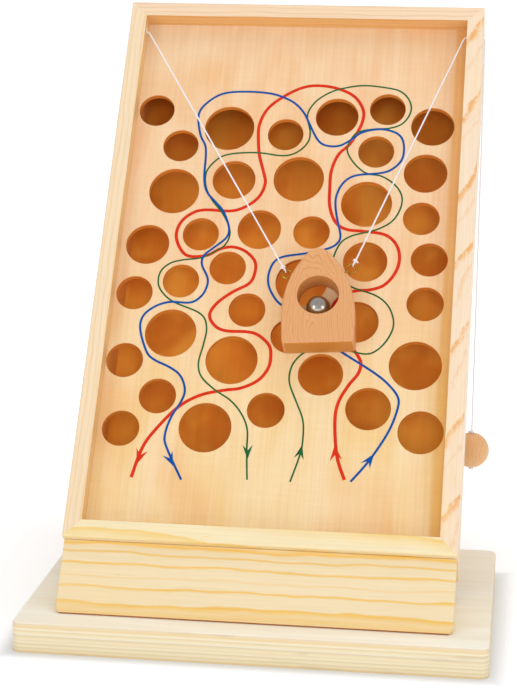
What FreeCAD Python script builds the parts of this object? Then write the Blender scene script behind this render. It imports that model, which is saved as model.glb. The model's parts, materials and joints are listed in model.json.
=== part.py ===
"""Two-string ball-lifting game: a leaning hole board with a pull-up shuttle.

World frame: millimetres, +Z up, -Y towards the player, the origin at the centre of
the foot plate's underside.  The leaning box is drawn in a sloping frame: X across,
Y up the slope, Z out of the play board, with its zero at the front panel's foot.
"""
import FreeCAD, Part
import math
import os
import Sketcher
from FreeCAD import Placement, Rotation, Vector

doc = FreeCAD.newDocument("string_lift_game")

# ---------------------------------------------------------------- driving dimensions

DIMENSIONS = {
    # foot plate
    "foot_width": 297, "foot_depth": 198, "foot_thick": 19,
    "foot_corner": 6, "foot_ease": 1.2,
    # leaning frame
    "lean": 54, "panel_front": -78.5,
    "box_width": 252, "box_foot": 50, "box_height": 405, "wall": 11.5,
    "rail_proud": 6, "box_depth": 53, "wall_ease": 1.5,
    # front panel and cheeks under the box
    "panel_width": 251, "panel_thick": 12, "panel_corner": 4, "panel_ease": 1,
    "cheek_thick": 11.5, "cheek_inset": 1.5,
    # play board and its groove
    "board_recess": 12, "board_thick": 4, "groove_deep": 3.5, "groove_play": 0.1,
    "small_hole": 25, "medium_hole": 30, "large_hole": 35,
    # back panel, its rebate and the ball outlet under it
    "back_thick": 4, "back_shoulder": 47, "rebate_deep": 5, "rebate_play": 0.2,
    "outlet_high": 20,
    # guide holes for the cords
    "guide_up": 434, "guide_out": 0.5, "guide_bore": 3.5, "guide_mouth": 6,
    "mouth_deep": 1.5,
    # shuttle, measured from the centre of its bore
    "shuttle_across": 25.8, "shuttle_up": 224.4, "shuttle_turn": 4,
    "shuttle_thick": 16.3, "shuttle_gap": 0.4, "bore": 28,
    "half_foot": 24, "half_waist": 24.5, "foot_down": 34.8, "waist_down": 14,
    "flank_radius": 69, "nose_radius": 10, "shuttle_ease": 1.2, "foot_round": 3,
    # steel ball
    "ball_diameter": 16, "ball_gap": 0.3,
    # brass screw eyes in the shuttle's flanks
    "left_eye_across": -21.4, "left_eye_up": 19.6, "left_eye_lean": 29,
    "right_eye_across": 21.9, "right_eye_up": 22.4, "right_eye_lean": 31.6,
    "eye_out": 2.5, "eye_ring": 3.3, "eye_wire": 0.7, "eye_shank": 1.1,
    "eye_shank_long": 11, "left_eye_roll": 12,
    # cords, knots and handle balls
    "cord": 1.2, "cord_bend": 2.1, "knot": 3.2, "knot_gap": 1.4, "cord_clear": 1.2,
    "handle": 26, "handle_bore": 3.2, "handle_knot": 4.4,
    "right_handle_height": 70.5, "left_handle_height": 97.3,
    # fasteners
    "screw_radius": 1.9, "screw_head": 3.9, "screw_long": 34, "screw_cone": 2.4,
    "dowel_radius": 3, "dowel_long": 20, "pin_radius": 0.7, "pin_head": 1.5,
    "pin_long": 14, "pin_head_thick": 0.6,
}

# Every drilled hole of the play board: size, across from the middle, up the slope.
DRILL_PLAN = [
    ("small", -101, 372), ("large", -48, 359), ("small", -8, 355), ("medium", 27, 370),
    ("small", 62, 377), ("medium", 94, 364), ("small", -81, 344), ("small", 56, 343),
    ("medium", -41, 318), ("large", 4, 320), ("medium", 91, 327), ("large", -82, 308),
    ("large", 52, 302), ("small", 90, 292), ("medium", -20, 280), ("small", 16, 279),
    ("small", -60, 275), ("medium", -96, 266), ("medium", 54, 258), ("small", -39, 250),
    ("small", -70, 239), ("large", 12, 241), ("small", -101, 229), ("small", -23, 219),
    ("medium", 51, 213), ("small", 7, 201), ("small", 97, 261), ("small", 96, 228),
    ("large", 92, 183), ("large", -73, 200), ("large", -30, 182), ("small", -102, 179),
    ("small", -77, 154), ("medium", 30, 174), ("small", -4, 147), ("medium", 63, 151),
    ("large", -43, 133), ("small", -99, 130), ("medium", 98, 136),
]

SCREW_PLACES = [(-70, -64), (70, -64), (-118.7, -34), (118.7, -34)]
DOWEL_PLACES = [-80, 0, 80]
PIN_SIDE_PLACES = [105, 185, 265, 345, 425]
PIN_TOP_PLACES = [-75, 0, 75]

sheet = doc.addObject("Spreadsheet::Sheet", "design")
for row, (word, number) in enumerate(DIMENSIONS.items(), start=1):
    sheet.set(f"A{row}", word.replace("_", " "))
    sheet.set(f"B{row}", str(number))
    sheet.setAlias(f"B{row}", word)
doc.recompute()


def size(word):
    """The number that the sheet holds under this name."""
    return float(sheet.get(word))


LEAN = math.radians(size("lean"))
parts = []


def finish(thing, label):
    """Name a finished sub-part and keep it for the export."""
    thing.Label = label
    parts.append(thing)
    return thing


# ---------------------------------------------------------------- the sloping frame

def sloping(across=0, up=0, out=0, turn=0):
    """Placement of a point of the sloping frame, turned about the board's normal."""
    foot = Placement(Vector(0, size("panel_front"), size("foot_thick")),
                     Rotation(Vector(1, 0, 0), size("lean")))
    return foot.multiply(Placement(Vector(across, up, out), Rotation(Vector(0, 0, 1), turn)))


def on_slope(thing):
    """Bind an object's Placement to the sheet's sloping frame."""
    thing.Placement = sloping()
    thing.setExpression(".Placement.Base.y", "design.panel_front")
    thing.setExpression(".Placement.Base.z", "design.foot_thick")
    thing.setExpression(".Placement.Rotation.Angle", "design.lean")


# ---------------------------------------------------------------- sketch helpers

def new_body(name):
    return doc.addObject("PartDesign::Body", name)


def new_sketch(body, name, plane, offset=("0", "0", "0")):
    """A sketch on one of the body's own origin planes, moved by three expressions."""
    sketch = body.newObject("Sketcher::SketchObject", name)
    for feature in body.Origin.OriginFeatures:
        if feature.Role == plane:
            sketch.AttachmentSupport = (feature, "")
    sketch.MapMode = "FlatFace"
    for axis, expression in zip("xyz", offset):
        sketch.setExpression(f".AttachmentOffset.Base.{axis}", expression)
    return sketch


def bind_point(sketch, geometry, end, name, across, up):
    """Fix one point of a sketch by two expressions, measured from the sketch's zero."""
    point = sketch.getPoint(geometry, end)
    for kind, axis, start, expression in (
            ("DistanceX", "x", point.x, across), ("DistanceY", "y", point.y, up)):
        index = sketch.addConstraint(Sketcher.Constraint(kind, -1, 1, geometry, end, start))
        sketch.renameConstraint(index, f"{name}_{axis}")
        sketch.setExpression(f"Constraints.{name}_{axis}", expression)


def outline(sketch, corners):
    """A closed outline of straight lines through corners given as expressions."""
    count = len(corners)
    ring = []
    for index in range(count):
        angle = 2 * math.pi * index / count
        ring.append(Vector(100 * math.cos(angle), 100 * math.sin(angle), 0))
    for index in range(count):
        sketch.addGeometry(Part.LineSegment(ring[index], ring[(index + 1) % count]))
    for index in range(count):
        joint = Sketcher.Constraint("Coincident", index, 2, (index + 1) % count, 1)
        sketch.addConstraint(joint)
    for index, (across, up) in enumerate(corners):
        bind_point(sketch, index, 1, f"corner{index}", across, up)


def rectangle(sketch, left, bottom, right, top):
    outline(sketch, [(left, bottom), (right, bottom), (right, top), (left, top)])


def pad(body, sketch, name, length):
    feature = body.newObject("PartDesign::Pad", name)
    feature.Profile = sketch
    feature.setExpression("Length", length)
    doc.recompute()
    return feature


def cut_through(body, sketch, name):
    """A pocket right through the body, both ways from its sketch."""
    before = body.Shape.Volume
    feature = body.newObject("PartDesign::Pocket", name)
    feature.Profile = sketch
    feature.Type = "ThroughAll"
    feature.Midplane = True
    doc.recompute()
    if body.Shape.Volume > before - 1:
        raise RuntimeError(f"{name} removed nothing")
    return feature


def edges_of(shape, wanted):
    """Names of the edges for which wanted(edge) is true."""
    names = []
    for index, edge in enumerate(shape.Edges, start=1):
        if wanted(edge):
            names.append(f"Edge{index}")
    return names


def round_edges(body, name, radius, wanted):
    """Round those edges of the body for which wanted(edge) is true."""
    base = body.Tip
    names = edges_of(base.Shape, wanted)
    feature = body.newObject("PartDesign::Fillet", name)
    feature.Base = (base, names)
    feature.setExpression("Radius", radius)
    doc.recompute()
    return feature


def runs_along(edge, axis):
    """True when a straight edge is parallel to the given unit vector."""
    if not isinstance(edge.Curve, Part.Line):
        return False
    return abs(edge.Curve.Direction.dot(axis)) > 0.999


def lies_in(edge, low, high):
    """True when the whole edge is inside the box between two corners."""
    box = edge.BoundBox
    inside_x = low[0] - 1e-3 <= box.XMin and box.XMax <= high[0] + 1e-3
    inside_y = low[1] - 1e-3 <= box.YMin and box.YMax <= high[1] + 1e-3
    inside_z = low[2] - 1e-3 <= box.ZMin and box.ZMax <= high[2] + 1e-3
    return inside_x and inside_y and inside_z


OUT = Vector(0, 0, 1)
FAR = 1000.0

# Expressions that several sketches share.
BOX_BACK = "design.rail_proud - design.box_depth"
BOARD_FRONT = "design.rail_proud - design.board_recess"
BOARD_BACK = f"{BOARD_FRONT} - design.board_thick"
HALF_BOX = "design.box_width / 2"
HALF_CLEAR = "(design.box_width / 2 - design.wall)"
BOX_TOP = "(design.box_foot + design.box_height)"
GROOVE_FRONT = f"{BOARD_FRONT} + design.groove_play"
GROOVE_BACK = f"{BOARD_BACK} - design.groove_play"
BACK_FRONT = "design.rail_proud - design.back_shoulder"


# ---------------------------------------------------------------- foot plate

def foot_plate():
    """Plywood foot with rounded corners and four countersunk screw holes."""
    body = new_body("foot_body")
    sketch = new_sketch(body, "foot_outline", "XY_Plane")
    rectangle(sketch, "-design.foot_width / 2", "-design.foot_depth / 2",
              "design.foot_width / 2", "design.foot_depth / 2")
    pad(body, sketch, "foot_pad", "design.foot_thick")
    round_edges(body, "foot_corners", "design.foot_corner",
                lambda edge: runs_along(edge, OUT))
    thick = size("foot_thick")
    round_edges(body, "foot_edges", "design.foot_ease",
                lambda edge: lies_in(edge, (-FAR, -FAR, thick), (FAR, FAR, thick)))
    for index, (across, depth) in enumerate(SCREW_PLACES):
        hole = new_sketch(body, f"screw_hole_{index}", "XZ_Plane",
                          (str(across), "0", str(-depth)))
        outline(hole, [
            ("0", "-1"), ("design.screw_head + 0.2", "-1"), ("design.screw_head + 0.2", "0"),
            ("design.screw_radius + 0.3", "design.screw_cone"),
            ("design.screw_radius + 0.3", "design.foot_thick + 1"),
            ("0", "design.foot_thick + 1")])
        groove = body.newObject("PartDesign::Groove", f"screw_groove_{index}")
        groove.Profile = hole
        groove.ReferenceAxis = (hole, ["V_Axis"])
        groove.Angle = 360
        doc.recompute()
    finish(body, "foot_plate")


# ---------------------------------------------------------------- leaning box

def mitred_rail(name, outer, inner):
    """Top or bottom board of the box: 45 degree ends and a groove for the play board."""
    body = new_body(name)
    sketch = new_sketch(body, f"{name}_outline", "XY_Plane", ("0", "0", BOX_BACK))
    outline(sketch, [(f"-{HALF_BOX}", outer), (HALF_BOX, outer),
                     (HALF_CLEAR, inner), (f"-{HALF_CLEAR}", inner)])
    pad(body, sketch, f"{name}_pad", "design.box_depth")
    return body


def groove_edge(inner, outwards):
    """Expression of the groove's bottom, outwards (+1 or -1) from the inner face."""
    sign = "+" if outwards > 0 else "-"
    return f"{inner} {sign} design.groove_deep"


def top_rail():
    inner = f"{BOX_TOP} - design.wall"
    body = mitred_rail("top_body", BOX_TOP, inner)
    groove = new_sketch(body, "top_groove_outline", "YZ_Plane")
    rectangle(groove, f"{inner} - 1", GROOVE_BACK, groove_edge(inner, 1), GROOVE_FRONT)
    cut_through(body, groove, "top_groove")
    rebate = new_sketch(body, "top_rebate_outline", "YZ_Plane")
    rectangle(rebate, f"{inner} - 1", f"{BOX_BACK} - 1",
              f"{inner} + design.rebate_deep", BACK_FRONT)
    cut_through(body, rebate, "top_rebate")
    ease_front_edges(body, "top_ease")
    on_slope(body)
    finish(body, "top_rail")


def bottom_rail():
    inner = "design.box_foot + design.wall"
    body = mitred_rail("bottom_body", "design.box_foot", inner)
    groove = new_sketch(body, "bottom_groove_outline", "YZ_Plane")
    rectangle(groove, groove_edge(inner, -1), GROOVE_BACK, f"{inner} + 1", GROOVE_FRONT)
    cut_through(body, groove, "bottom_groove")
    ease_front_edges(body, "bottom_ease")
    on_slope(body)
    finish(body, "bottom_rail")


def ease_front_edges(body, name):
    """Round the outer long edge of the front face of a box board."""
    front = size("rail_proud")
    half = size("box_width") / 2
    foot = size("box_foot")
    top = foot + size("box_height")

    def outer_front(edge):
        if not lies_in(edge, (-FAR, -FAR, front), (FAR, FAR, front)):
            return False
        centre = edge.CenterOfMass
        on_side = abs(abs(centre.x) - half) < 0.01
        on_end = min(abs(centre.y - foot), abs(centre.y - top)) < 0.01
        return on_side or on_end

    round_edges(body, name, "design.wall_ease", outer_front)


def side_board(side, label):
    """Left (-1) or right (+1) board: mitred, grooved, rebated, with a guide hole."""
    word = "left" if side < 0 else "right"
    sign = "-" if side < 0 else ""
    body = new_body(f"{word}_side_body")
    sketch = new_sketch(body, f"{word}_side_outline", "XY_Plane", ("0", "0", BOX_BACK))
    outline(sketch, [
        (f"{sign}{HALF_BOX}", "design.box_foot"), (f"{sign}{HALF_BOX}", BOX_TOP),
        (f"{sign}{HALF_CLEAR}", f"{BOX_TOP} - design.wall"),
        (f"{sign}{HALF_CLEAR}", "design.box_foot + design.wall")])
    pad(body, sketch, f"{word}_side_pad", "design.box_depth")
    groove = new_sketch(body, f"{word}_groove_outline", "XZ_Plane")
    rectangle(groove, f"{sign}({HALF_CLEAR} - 1)", GROOVE_BACK,
              f"{sign}({HALF_CLEAR} + design.groove_deep)", GROOVE_FRONT)
    cut_through(body, groove, f"{word}_groove")
    rebate = new_sketch(body, f"{word}_rebate_outline", "XZ_Plane")
    rectangle(rebate, f"{sign}({HALF_CLEAR} - 1)", f"{BOX_BACK} - 1",
              f"{sign}({HALF_CLEAR} + design.rebate_deep)", BACK_FRONT)
    cut_through(body, rebate, f"{word}_rebate")
    hole = new_sketch(body, f"{word}_guide_outline", "XY_Plane",
                      ("0", "design.guide_up", "design.guide_out"))
    outline(hole, [
        (f"{sign}({HALF_CLEAR} - 0.5)", "0"),
        (f"{sign}({HALF_CLEAR} - 0.5)", "design.guide_mouth / 2"),
        (f"{sign}{HALF_CLEAR}", "design.guide_mouth / 2"),
        (f"{sign}({HALF_CLEAR} + design.mouth_deep)", "design.guide_bore / 2"),
        (f"{sign}({HALF_BOX} - design.mouth_deep)", "design.guide_bore / 2"),
        (f"{sign}{HALF_BOX}", "design.guide_mouth / 2"),
        (f"{sign}({HALF_BOX} + 0.5)", "design.guide_mouth / 2"),
        (f"{sign}({HALF_BOX} + 0.5)", "0")])
    bore = body.newObject("PartDesign::Groove", f"{word}_guide_hole")
    bore.Profile = hole
    bore.ReferenceAxis = (hole, ["H_Axis"])
    bore.Angle = 360
    doc.recompute()
    ease_front_edges(body, f"{word}_side_ease")
    on_slope(body)
    finish(body, label)


# ---------------------------------------------------------------- play board

def play_board():
    """Thin plywood board with its drilled holes, one pocket for each drill."""
    body = new_body("board_body")
    sketch = new_sketch(body, "board_outline", "XY_Plane", ("0", "0", BOARD_BACK))
    edge = "design.groove_deep - design.groove_play"
    rectangle(sketch, f"-({HALF_CLEAR} + {edge})",
              f"design.box_foot + design.wall - ({edge})",
              f"{HALF_CLEAR} + {edge}", f"{BOX_TOP} - design.wall + {edge}")
    pad(body, sketch, "board_pad", "design.board_thick")
    for drill in ("small", "medium", "large"):
        holes = new_sketch(body, f"{drill}_holes", "XY_Plane", ("0", "0", BOARD_BACK))
        for kind, across, up in DRILL_PLAN:
            if kind != drill:
                continue
            circle = Part.Circle(Vector(across, up, 0), Vector(0, 0, 1), size(f"{drill}_hole") / 2)
            index = holes.addGeometry(circle)
            holes.addConstraint(Sketcher.Constraint("DistanceX", -1, 1, index, 3, across))
            holes.addConstraint(Sketcher.Constraint("DistanceY", -1, 1, index, 3, up))
            wide = holes.addConstraint(
                Sketcher.Constraint("Diameter", index, size(f"{drill}_hole")))
            holes.renameConstraint(wide, f"wide{index}")
            holes.setExpression(f"Constraints.wide{index}", f"design.{drill}_hole")
        cut_through(body, holes, f"{drill}_drilling")
    on_slope(body)
    finish(body, "play_board")


# ---------------------------------------------------------------- back panel

def back_panel():
    """Panel in the rebate at the back; it stops above the bottom rail for the balls."""
    body = new_body("back_body")
    sketch = new_sketch(body, "back_outline", "XY_Plane",
                        ("0", "0", f"{BACK_FRONT} - design.back_thick"))
    reach = "design.rebate_deep - design.rebate_play"
    rectangle(sketch, f"-({HALF_CLEAR} + {reach})",
              "design.box_foot + design.wall + design.outlet_high",
              f"{HALF_CLEAR} + {reach}", f"{BOX_TOP} - design.wall + {reach}")
    pad(body, sketch, "back_pad", "design.back_thick")
    on_slope(body)
    finish(body, "back_panel")


# ---------------------------------------------------------------- panel and cheeks

def sloping_wedge(name, near, far, half, offset):
    """A board between two depths, cut level at its foot to stand on the plate."""
    body = new_body(name)
    sketch = new_sketch(body, f"{name}_outline", "YZ_Plane", ("0", "0", offset))
    outline(sketch, [
        (f"({near}) / tan(design.lean * 1deg)", f"-({near})"), ("design.box_foot", f"-({near})"),
        ("design.box_foot", f"-({far})"), (f"({far}) / tan(design.lean * 1deg)", f"-({far})")])
    pad(body, sketch, f"{name}_pad", half)
    return body


def front_panel():
    """Panel under the box, set back behind the box's front, with rounded corners."""
    body = sloping_wedge("panel_body", "0", "design.panel_thick", "design.panel_width",
                         "-design.panel_width / 2")
    half = size("panel_width") / 2

    def lower_corner(edge):
        at_end = abs(abs(edge.CenterOfMass.x) - half) < 0.01
        return at_end and runs_along(edge, Vector(0, -math.cos(LEAN), math.sin(LEAN)))

    def front_rim(edge):
        return lies_in(edge, (-FAR, -FAR, 0), (FAR, FAR, 0))

    round_edges(body, "panel_corners", "design.panel_corner", lower_corner)
    round_edges(body, "panel_rim", "design.panel_ease", front_rim)
    on_slope(body)
    finish(body, "front_panel")


def cheek(side, label):
    """Block behind the front panel that carries one side of the box."""
    outer = "design.box_width / 2 - design.cheek_inset"
    start = f"{outer} - design.cheek_thick" if side > 0 else f"-({outer})"
    body = sloping_wedge(f"{label}_body", "design.panel_thick",
                         "design.box_depth - design.rail_proud", "design.cheek_thick", start)
    on_slope(body)
    finish(body, label)


# ---------------------------------------------------------------- shuttle

def arc_through(centre, radius, start, end):
    """Arc of a sketch, anticlockwise between two angles in radians."""
    circle = Part.Circle(Vector(centre[0], centre[1], 0), Vector(0, 0, 1), radius)
    return Part.ArcOfCircle(circle, start, end)


def shuttle_block():
    """Bullet-shaped block with a round bore that carries the ball."""
    body = new_body("shuttle_body")
    sketch = new_sketch(body, "shuttle_outline", "XY_Plane")
    flank = size("flank_radius")
    nose = size("nose_radius")
    waist = size("half_waist")
    low = -size("waist_down")
    hub = waist - flank
    nose_up = low + math.sqrt((flank - nose) ** 2 - hub ** 2)
    lean = math.atan2(nose_up - low, -hub)
    foot_right = Vector(size("half_foot"), -size("foot_down"), 0)
    foot_left = Vector(-size("half_foot"), -size("foot_down"), 0)
    sketch.addGeometry(Part.LineSegment(foot_left, foot_right))
    sketch.addGeometry(Part.LineSegment(foot_right, Vector(waist, low, 0)))
    sketch.addGeometry(arc_through((hub, low), flank, 0, lean))
    sketch.addGeometry(arc_through((0, nose_up), nose, lean, math.pi - lean))
    sketch.addGeometry(arc_through((-hub, low), flank, math.pi - lean, math.pi))
    sketch.addGeometry(Part.LineSegment(Vector(-waist, low, 0), foot_left))
    for first, first_end, second, second_end in (
            (0, 2, 1, 1), (1, 2, 2, 1), (4, 2, 5, 1), (5, 2, 0, 1)):
        sketch.addConstraint(
            Sketcher.Constraint("Coincident", first, first_end, second, second_end))
    sketch.addConstraint(Sketcher.Constraint("Tangent", 2, 2, 3, 1))
    sketch.addConstraint(Sketcher.Constraint("Tangent", 3, 2, 4, 1))
    bind_point(sketch, 0, 1, "foot_left", "-design.half_foot", "-design.foot_down")
    bind_point(sketch, 0, 2, "foot_right", "design.half_foot", "-design.foot_down")
    bind_point(sketch, 2, 1, "waist_right", "design.half_waist", "-design.waist_down")
    bind_point(sketch, 4, 2, "waist_left", "-design.half_waist", "-design.waist_down")
    sketch.addConstraint(Sketcher.Constraint("Horizontal", 2, 3, 2, 1))
    sketch.addConstraint(Sketcher.Constraint("Horizontal", 4, 3, 4, 2))
    for geometry, word in ((2, "flank_radius"), (4, "flank_radius"), (3, "nose_radius")):
        index = sketch.addConstraint(Sketcher.Constraint("Radius", geometry, size(word)))
        sketch.renameConstraint(index, f"radius{geometry}")
        sketch.setExpression(f"Constraints.radius{geometry}", f"design.{word}")
    pad(body, sketch, "shuttle_pad", "design.shuttle_thick")
    hole = new_sketch(body, "bore_outline", "XY_Plane")
    hole.addGeometry(Part.Circle(Vector(0, 0, 0), Vector(0, 0, 1), size("bore") / 2))
    hole.addConstraint(Sketcher.Constraint("Coincident", 0, 3, -1, 1))
    wide = hole.addConstraint(Sketcher.Constraint("Diameter", 0, size("bore")))
    hole.renameConstraint(wide, "wide")
    hole.setExpression("Constraints.wide", "design.bore")
    cut_through(body, hole, "shuttle_bore")
    foot = -size("foot_down")
    round_edges(body, "foot_corners_round", "design.foot_round",
                lambda edge: runs_along(edge, OUT) and abs(edge.CenterOfMass.y - foot) < 0.01)
    thick = size("shuttle_thick")
    outside = size("bore") / 2 + 1

    def rim(edge):
        flat = lies_in(edge, (-FAR, -FAR, thick), (FAR, FAR, thick))
        box = edge.BoundBox
        round_bore = box.XMax < outside and box.XMin > -outside and abs(edge.CenterOfMass.y) < 1
        return flat and not round_bore

    round_edges(body, "shuttle_rim", "design.shuttle_ease", rim)
    body.Placement = sloping(size("shuttle_across"), size("shuttle_up"),
                             shuttle_back(), size("shuttle_turn"))
    finish(body, "shuttle_block")


def board_front():
    """Distance of the play board's front from the front panel's plane."""
    return size("rail_proud") - size("board_recess")


def shuttle_back():
    return board_front() + size("shuttle_gap")


def on_shuttle(across, up, out):
    """World position of a point given from the centre of the shuttle's bore."""
    place = sloping(size("shuttle_across"), size("shuttle_up"), out, size("shuttle_turn"))
    return place.multVec(Vector(across, up, 0))


def steel_ball():
    """Ball lying on the board and on the low side of the bore."""
    ball = doc.addObject("Part::Sphere", "ball_sphere")
    ball.setExpression("Radius", "design.ball_diameter / 2")
    radius = size("ball_diameter") / 2
    drop = size("bore") / 2 - radius - size("ball_gap")
    centre = sloping(size("shuttle_across"), size("shuttle_up") - drop,
                     board_front() + radius + size("ball_gap"))
    ball.Placement = Placement(centre.Base, Rotation())
    finish(ball, "steel_ball")


# ---------------------------------------------------------------- screw eyes

def eye_centre(word):
    return on_shuttle(size(f"{word}_eye_across"), size(f"{word}_eye_up"), size("eye_out"))


def screw_eye(side, word):
    """Closed wire ring on a threaded shank that is screwed into the shuttle's flank."""
    label = f"{word}_screw_eye"
    lean = size(f"{word}_eye_lean")
    heading = lean if side > 0 else 180 - lean
    ring = doc.addObject("Part::Torus", f"{label}_ring")
    ring.setExpression("Radius1", "design.eye_ring")
    ring.setExpression("Radius2", "design.eye_wire")
    shank = doc.addObject("Part::Cylinder", f"{label}_shank")
    shank.setExpression("Radius", "design.eye_shank")
    shank.setExpression("Height", "design.eye_shank_long")
    shank.Placement = Placement(Vector(-size("eye_ring"), 0, 0), Rotation(Vector(0, 1, 0), -90))
    eye = doc.addObject("Part::Fuse", f"{label}_eye")
    eye.Base = ring
    eye.Tool = shank
    roll = size("left_eye_roll") if side < 0 else 0
    turn = sloping(0, 0, 0, size("shuttle_turn") + heading).Rotation
    eye.Placement = Placement(eye_centre(word), turn.multiply(Rotation(Vector(1, 0, 0), roll)))
    finish(eye, label)


# ---------------------------------------------------------------- cords

def pull_direction(side, word):
    """Unit vector from a screw eye's centre towards the inside of its guide hole."""
    return guide_point(side, inside=True).sub(eye_centre(word)).normalize()


def knot_centre(side, word):
    """The knot sits a little beyond the ring, on the side that the cord pulls."""
    away = size("eye_ring") + size("knot_gap") + size("knot") / 2
    return eye_centre(word).add(pull_direction(side, word).multiply(away))


def eye_knot(side, word):
    """Knot, and the loop of cord that holds it to the ring as one short stem."""
    ball = doc.addObject("Part::Sphere", f"{word}_eye_knot_ball")
    ball.setExpression("Radius", "design.knot / 2")
    stem = doc.addObject("Part::Cylinder", f"{word}_eye_knot_stem")
    stem.setExpression("Radius", "design.cord * 0.75")
    stem.setExpression("Height", "design.knot / 2 + design.knot_gap")
    tied = doc.addObject("Part::Fuse", f"{word}_eye_knot_tied")
    tied.Base = ball
    tied.Tool = stem
    back = Rotation(Vector(0, 0, 1), pull_direction(side, word).negative())
    tied.Placement = Placement(knot_centre(side, word), back)
    finish(tied, f"{word}_eye_knot")


def guide_point(side, inside):
    """Corner of the cord's route just outside one mouth of the guide hole."""
    half = size("box_width") / 2
    clear = size("cord_clear")
    across = half - size("wall") - clear if inside else half + clear
    return sloping(side * across, size("guide_up"), size("guide_out")).Base


def round_corner(before, corner, after, radius):
    """Start, middle and end of the arc that rounds a corner of a route."""
    back = before.sub(corner).normalize()
    ahead = after.sub(corner).normalize()
    half = back.getAngle(ahead) / 2
    reach = radius / math.tan(half)
    inward = back.add(ahead).normalize()
    middle = corner.add(inward.multiply(radius / math.sin(half) - radius))
    start = corner.add(Vector(back).multiply(reach))
    end = corner.add(Vector(ahead).multiply(reach))
    return start, middle, end


def tube(name, edges, radius):
    """Solid tube along edges that join smoothly, checked against area times length."""
    path = Part.Wire(edges)
    start = edges[0].Vertexes[0].Point
    heading = edges[0].tangentAt(edges[0].FirstParameter)
    ring = Part.Wire([Part.makeCircle(radius, start, heading)])
    solid = path.makePipeShell([ring], True, False)
    wanted = math.pi * radius ** 2 * path.Length
    if abs(solid.Volume - wanted) > 0.01 * wanted:
        raise RuntimeError(f"{name}: volume {solid.Volume:.1f}, expected {wanted:.1f}")
    print(f"{name}: length {path.Length:.1f} mm")
    feature = doc.addObject("Part::Feature", f"{name}_tube")
    feature.Shape = solid
    finish(feature, name)


def straight(start, end):
    return Part.LineSegment(start, end).toShape()


def cord_side(side, word, handle_height):
    """All the cord of one side: knot, taut run, stretch in the guide hole, hanging run."""
    radius = size("cord") / 2
    bend = size("cord_bend")
    knot = knot_centre(side, word)
    inside = guide_point(side, inside=True)
    outside = guide_point(side, inside=False)
    hanging = Vector(outside.x, outside.y, handle_height + size("handle") / 2)
    pull = inside.sub(knot).normalize()
    leave = knot.add(Vector(pull).multiply(size("knot") / 2 - 0.1))
    enter, inner_middle, inner_end = round_corner(knot, inside, outside, bend)
    outer_start, outer_middle, drop = round_corner(inside, outside, hanging, bend)
    print(f"{word} cord bends of radius {bend} mm round the mouths of the guide hole")
    tube(f"{word}_inner_cord", [straight(leave, enter)], radius)
    tube(f"{word}_guide_cord", [
        Part.Arc(enter, inner_middle, inner_end).toShape(), straight(inner_end, outer_start),
        Part.Arc(outer_start, outer_middle, drop).toShape()], radius)
    tube(f"{word}_outer_cord", [straight(drop, hanging)], radius)
    eye_knot(side, word)
    handle(word, hanging)


def handle(word, top):
    """Wooden pull ball on the cord, and the knot that holds it from below."""
    centre = top.sub(Vector(0, 0, size("handle") / 2))
    ball = doc.addObject("Part::Sphere", f"{word}_handle_sphere")
    ball.setExpression("Radius", "design.handle / 2")
    hole = doc.addObject("Part::Cylinder", f"{word}_handle_hole")
    hole.setExpression("Radius", "design.handle_bore / 2")
    hole.setExpression("Height", "design.handle + 2")
    hole.setExpression(".Placement.Base.z", "-design.handle / 2 - 1")
    drilled = doc.addObject("Part::Cut", f"{word}_handle_drilled")
    drilled.Base = ball
    drilled.Tool = hole
    drilled.Placement = Placement(centre, Rotation())
    finish(drilled, f"{word}_handle_ball")
    stop = doc.addObject("Part::Sphere", f"{word}_stop")
    stop.setExpression("Radius", "design.handle_knot / 2")
    stop.setExpression(".Placement.Base.z", "-design.handle / 2 - design.handle_knot / 2 + 0.1")
    core = doc.addObject("Part::Cylinder", f"{word}_core")
    core.setExpression("Radius", "design.cord / 2")
    core.setExpression("Height", "design.handle + 0.5")
    core.setExpression(".Placement.Base.z", "-design.handle / 2 - 0.5")
    knot = doc.addObject("Part::Fuse", f"{word}_knot")
    knot.Base = stop
    knot.Tool = core
    knot.Placement = Placement(centre, Rotation())
    finish(knot, f"{word}_handle_knot")


# ---------------------------------------------------------------- fasteners

def group(label, members):
    """Identical fasteners as one sub-part of several solids."""
    bundle = doc.addObject("Part::Compound", f"{label}_group")
    bundle.Links = members
    finish(bundle, label)
    return bundle


def base_screws():
    """Countersunk screws up through the foot plate into the panel and cheeks."""
    members = []
    for index, (across, depth) in enumerate(SCREW_PLACES):
        head = doc.addObject("Part::Cone", f"screw_head_{index}")
        head.setExpression("Radius1", "design.screw_head")
        head.setExpression("Radius2", "design.screw_radius")
        head.setExpression("Height", "design.screw_cone")
        shank = doc.addObject("Part::Cylinder", f"screw_shank_{index}")
        shank.setExpression("Radius", "design.screw_radius")
        shank.setExpression("Height", "design.screw_long")
        screw = doc.addObject("Part::Fuse", f"screw_{index}")
        screw.Base = head
        screw.Tool = shank
        screw.Placement = Placement(Vector(across, depth, 0.3), Rotation())
        members.append(screw)
    group("base_screws", members)


def panel_dowels():
    """Dowels that join the front panel's top to the bottom rail."""
    members = []
    for index, across in enumerate(DOWEL_PLACES):
        dowel = doc.addObject("Part::Cylinder", f"dowel_{index}")
        dowel.setExpression("Radius", "design.dowel_radius")
        dowel.setExpression("Height", "design.dowel_long")
        start = size("box_foot") - size("dowel_long") + size("wall") - size("groove_deep") - 1
        dowel.Placement = sloping(across, start, -size("panel_thick") / 2).multiply(
            Placement(Vector(), Rotation(Vector(1, 0, 0), -90)))
        members.append(dowel)
    group("panel_dowels", members)


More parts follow.
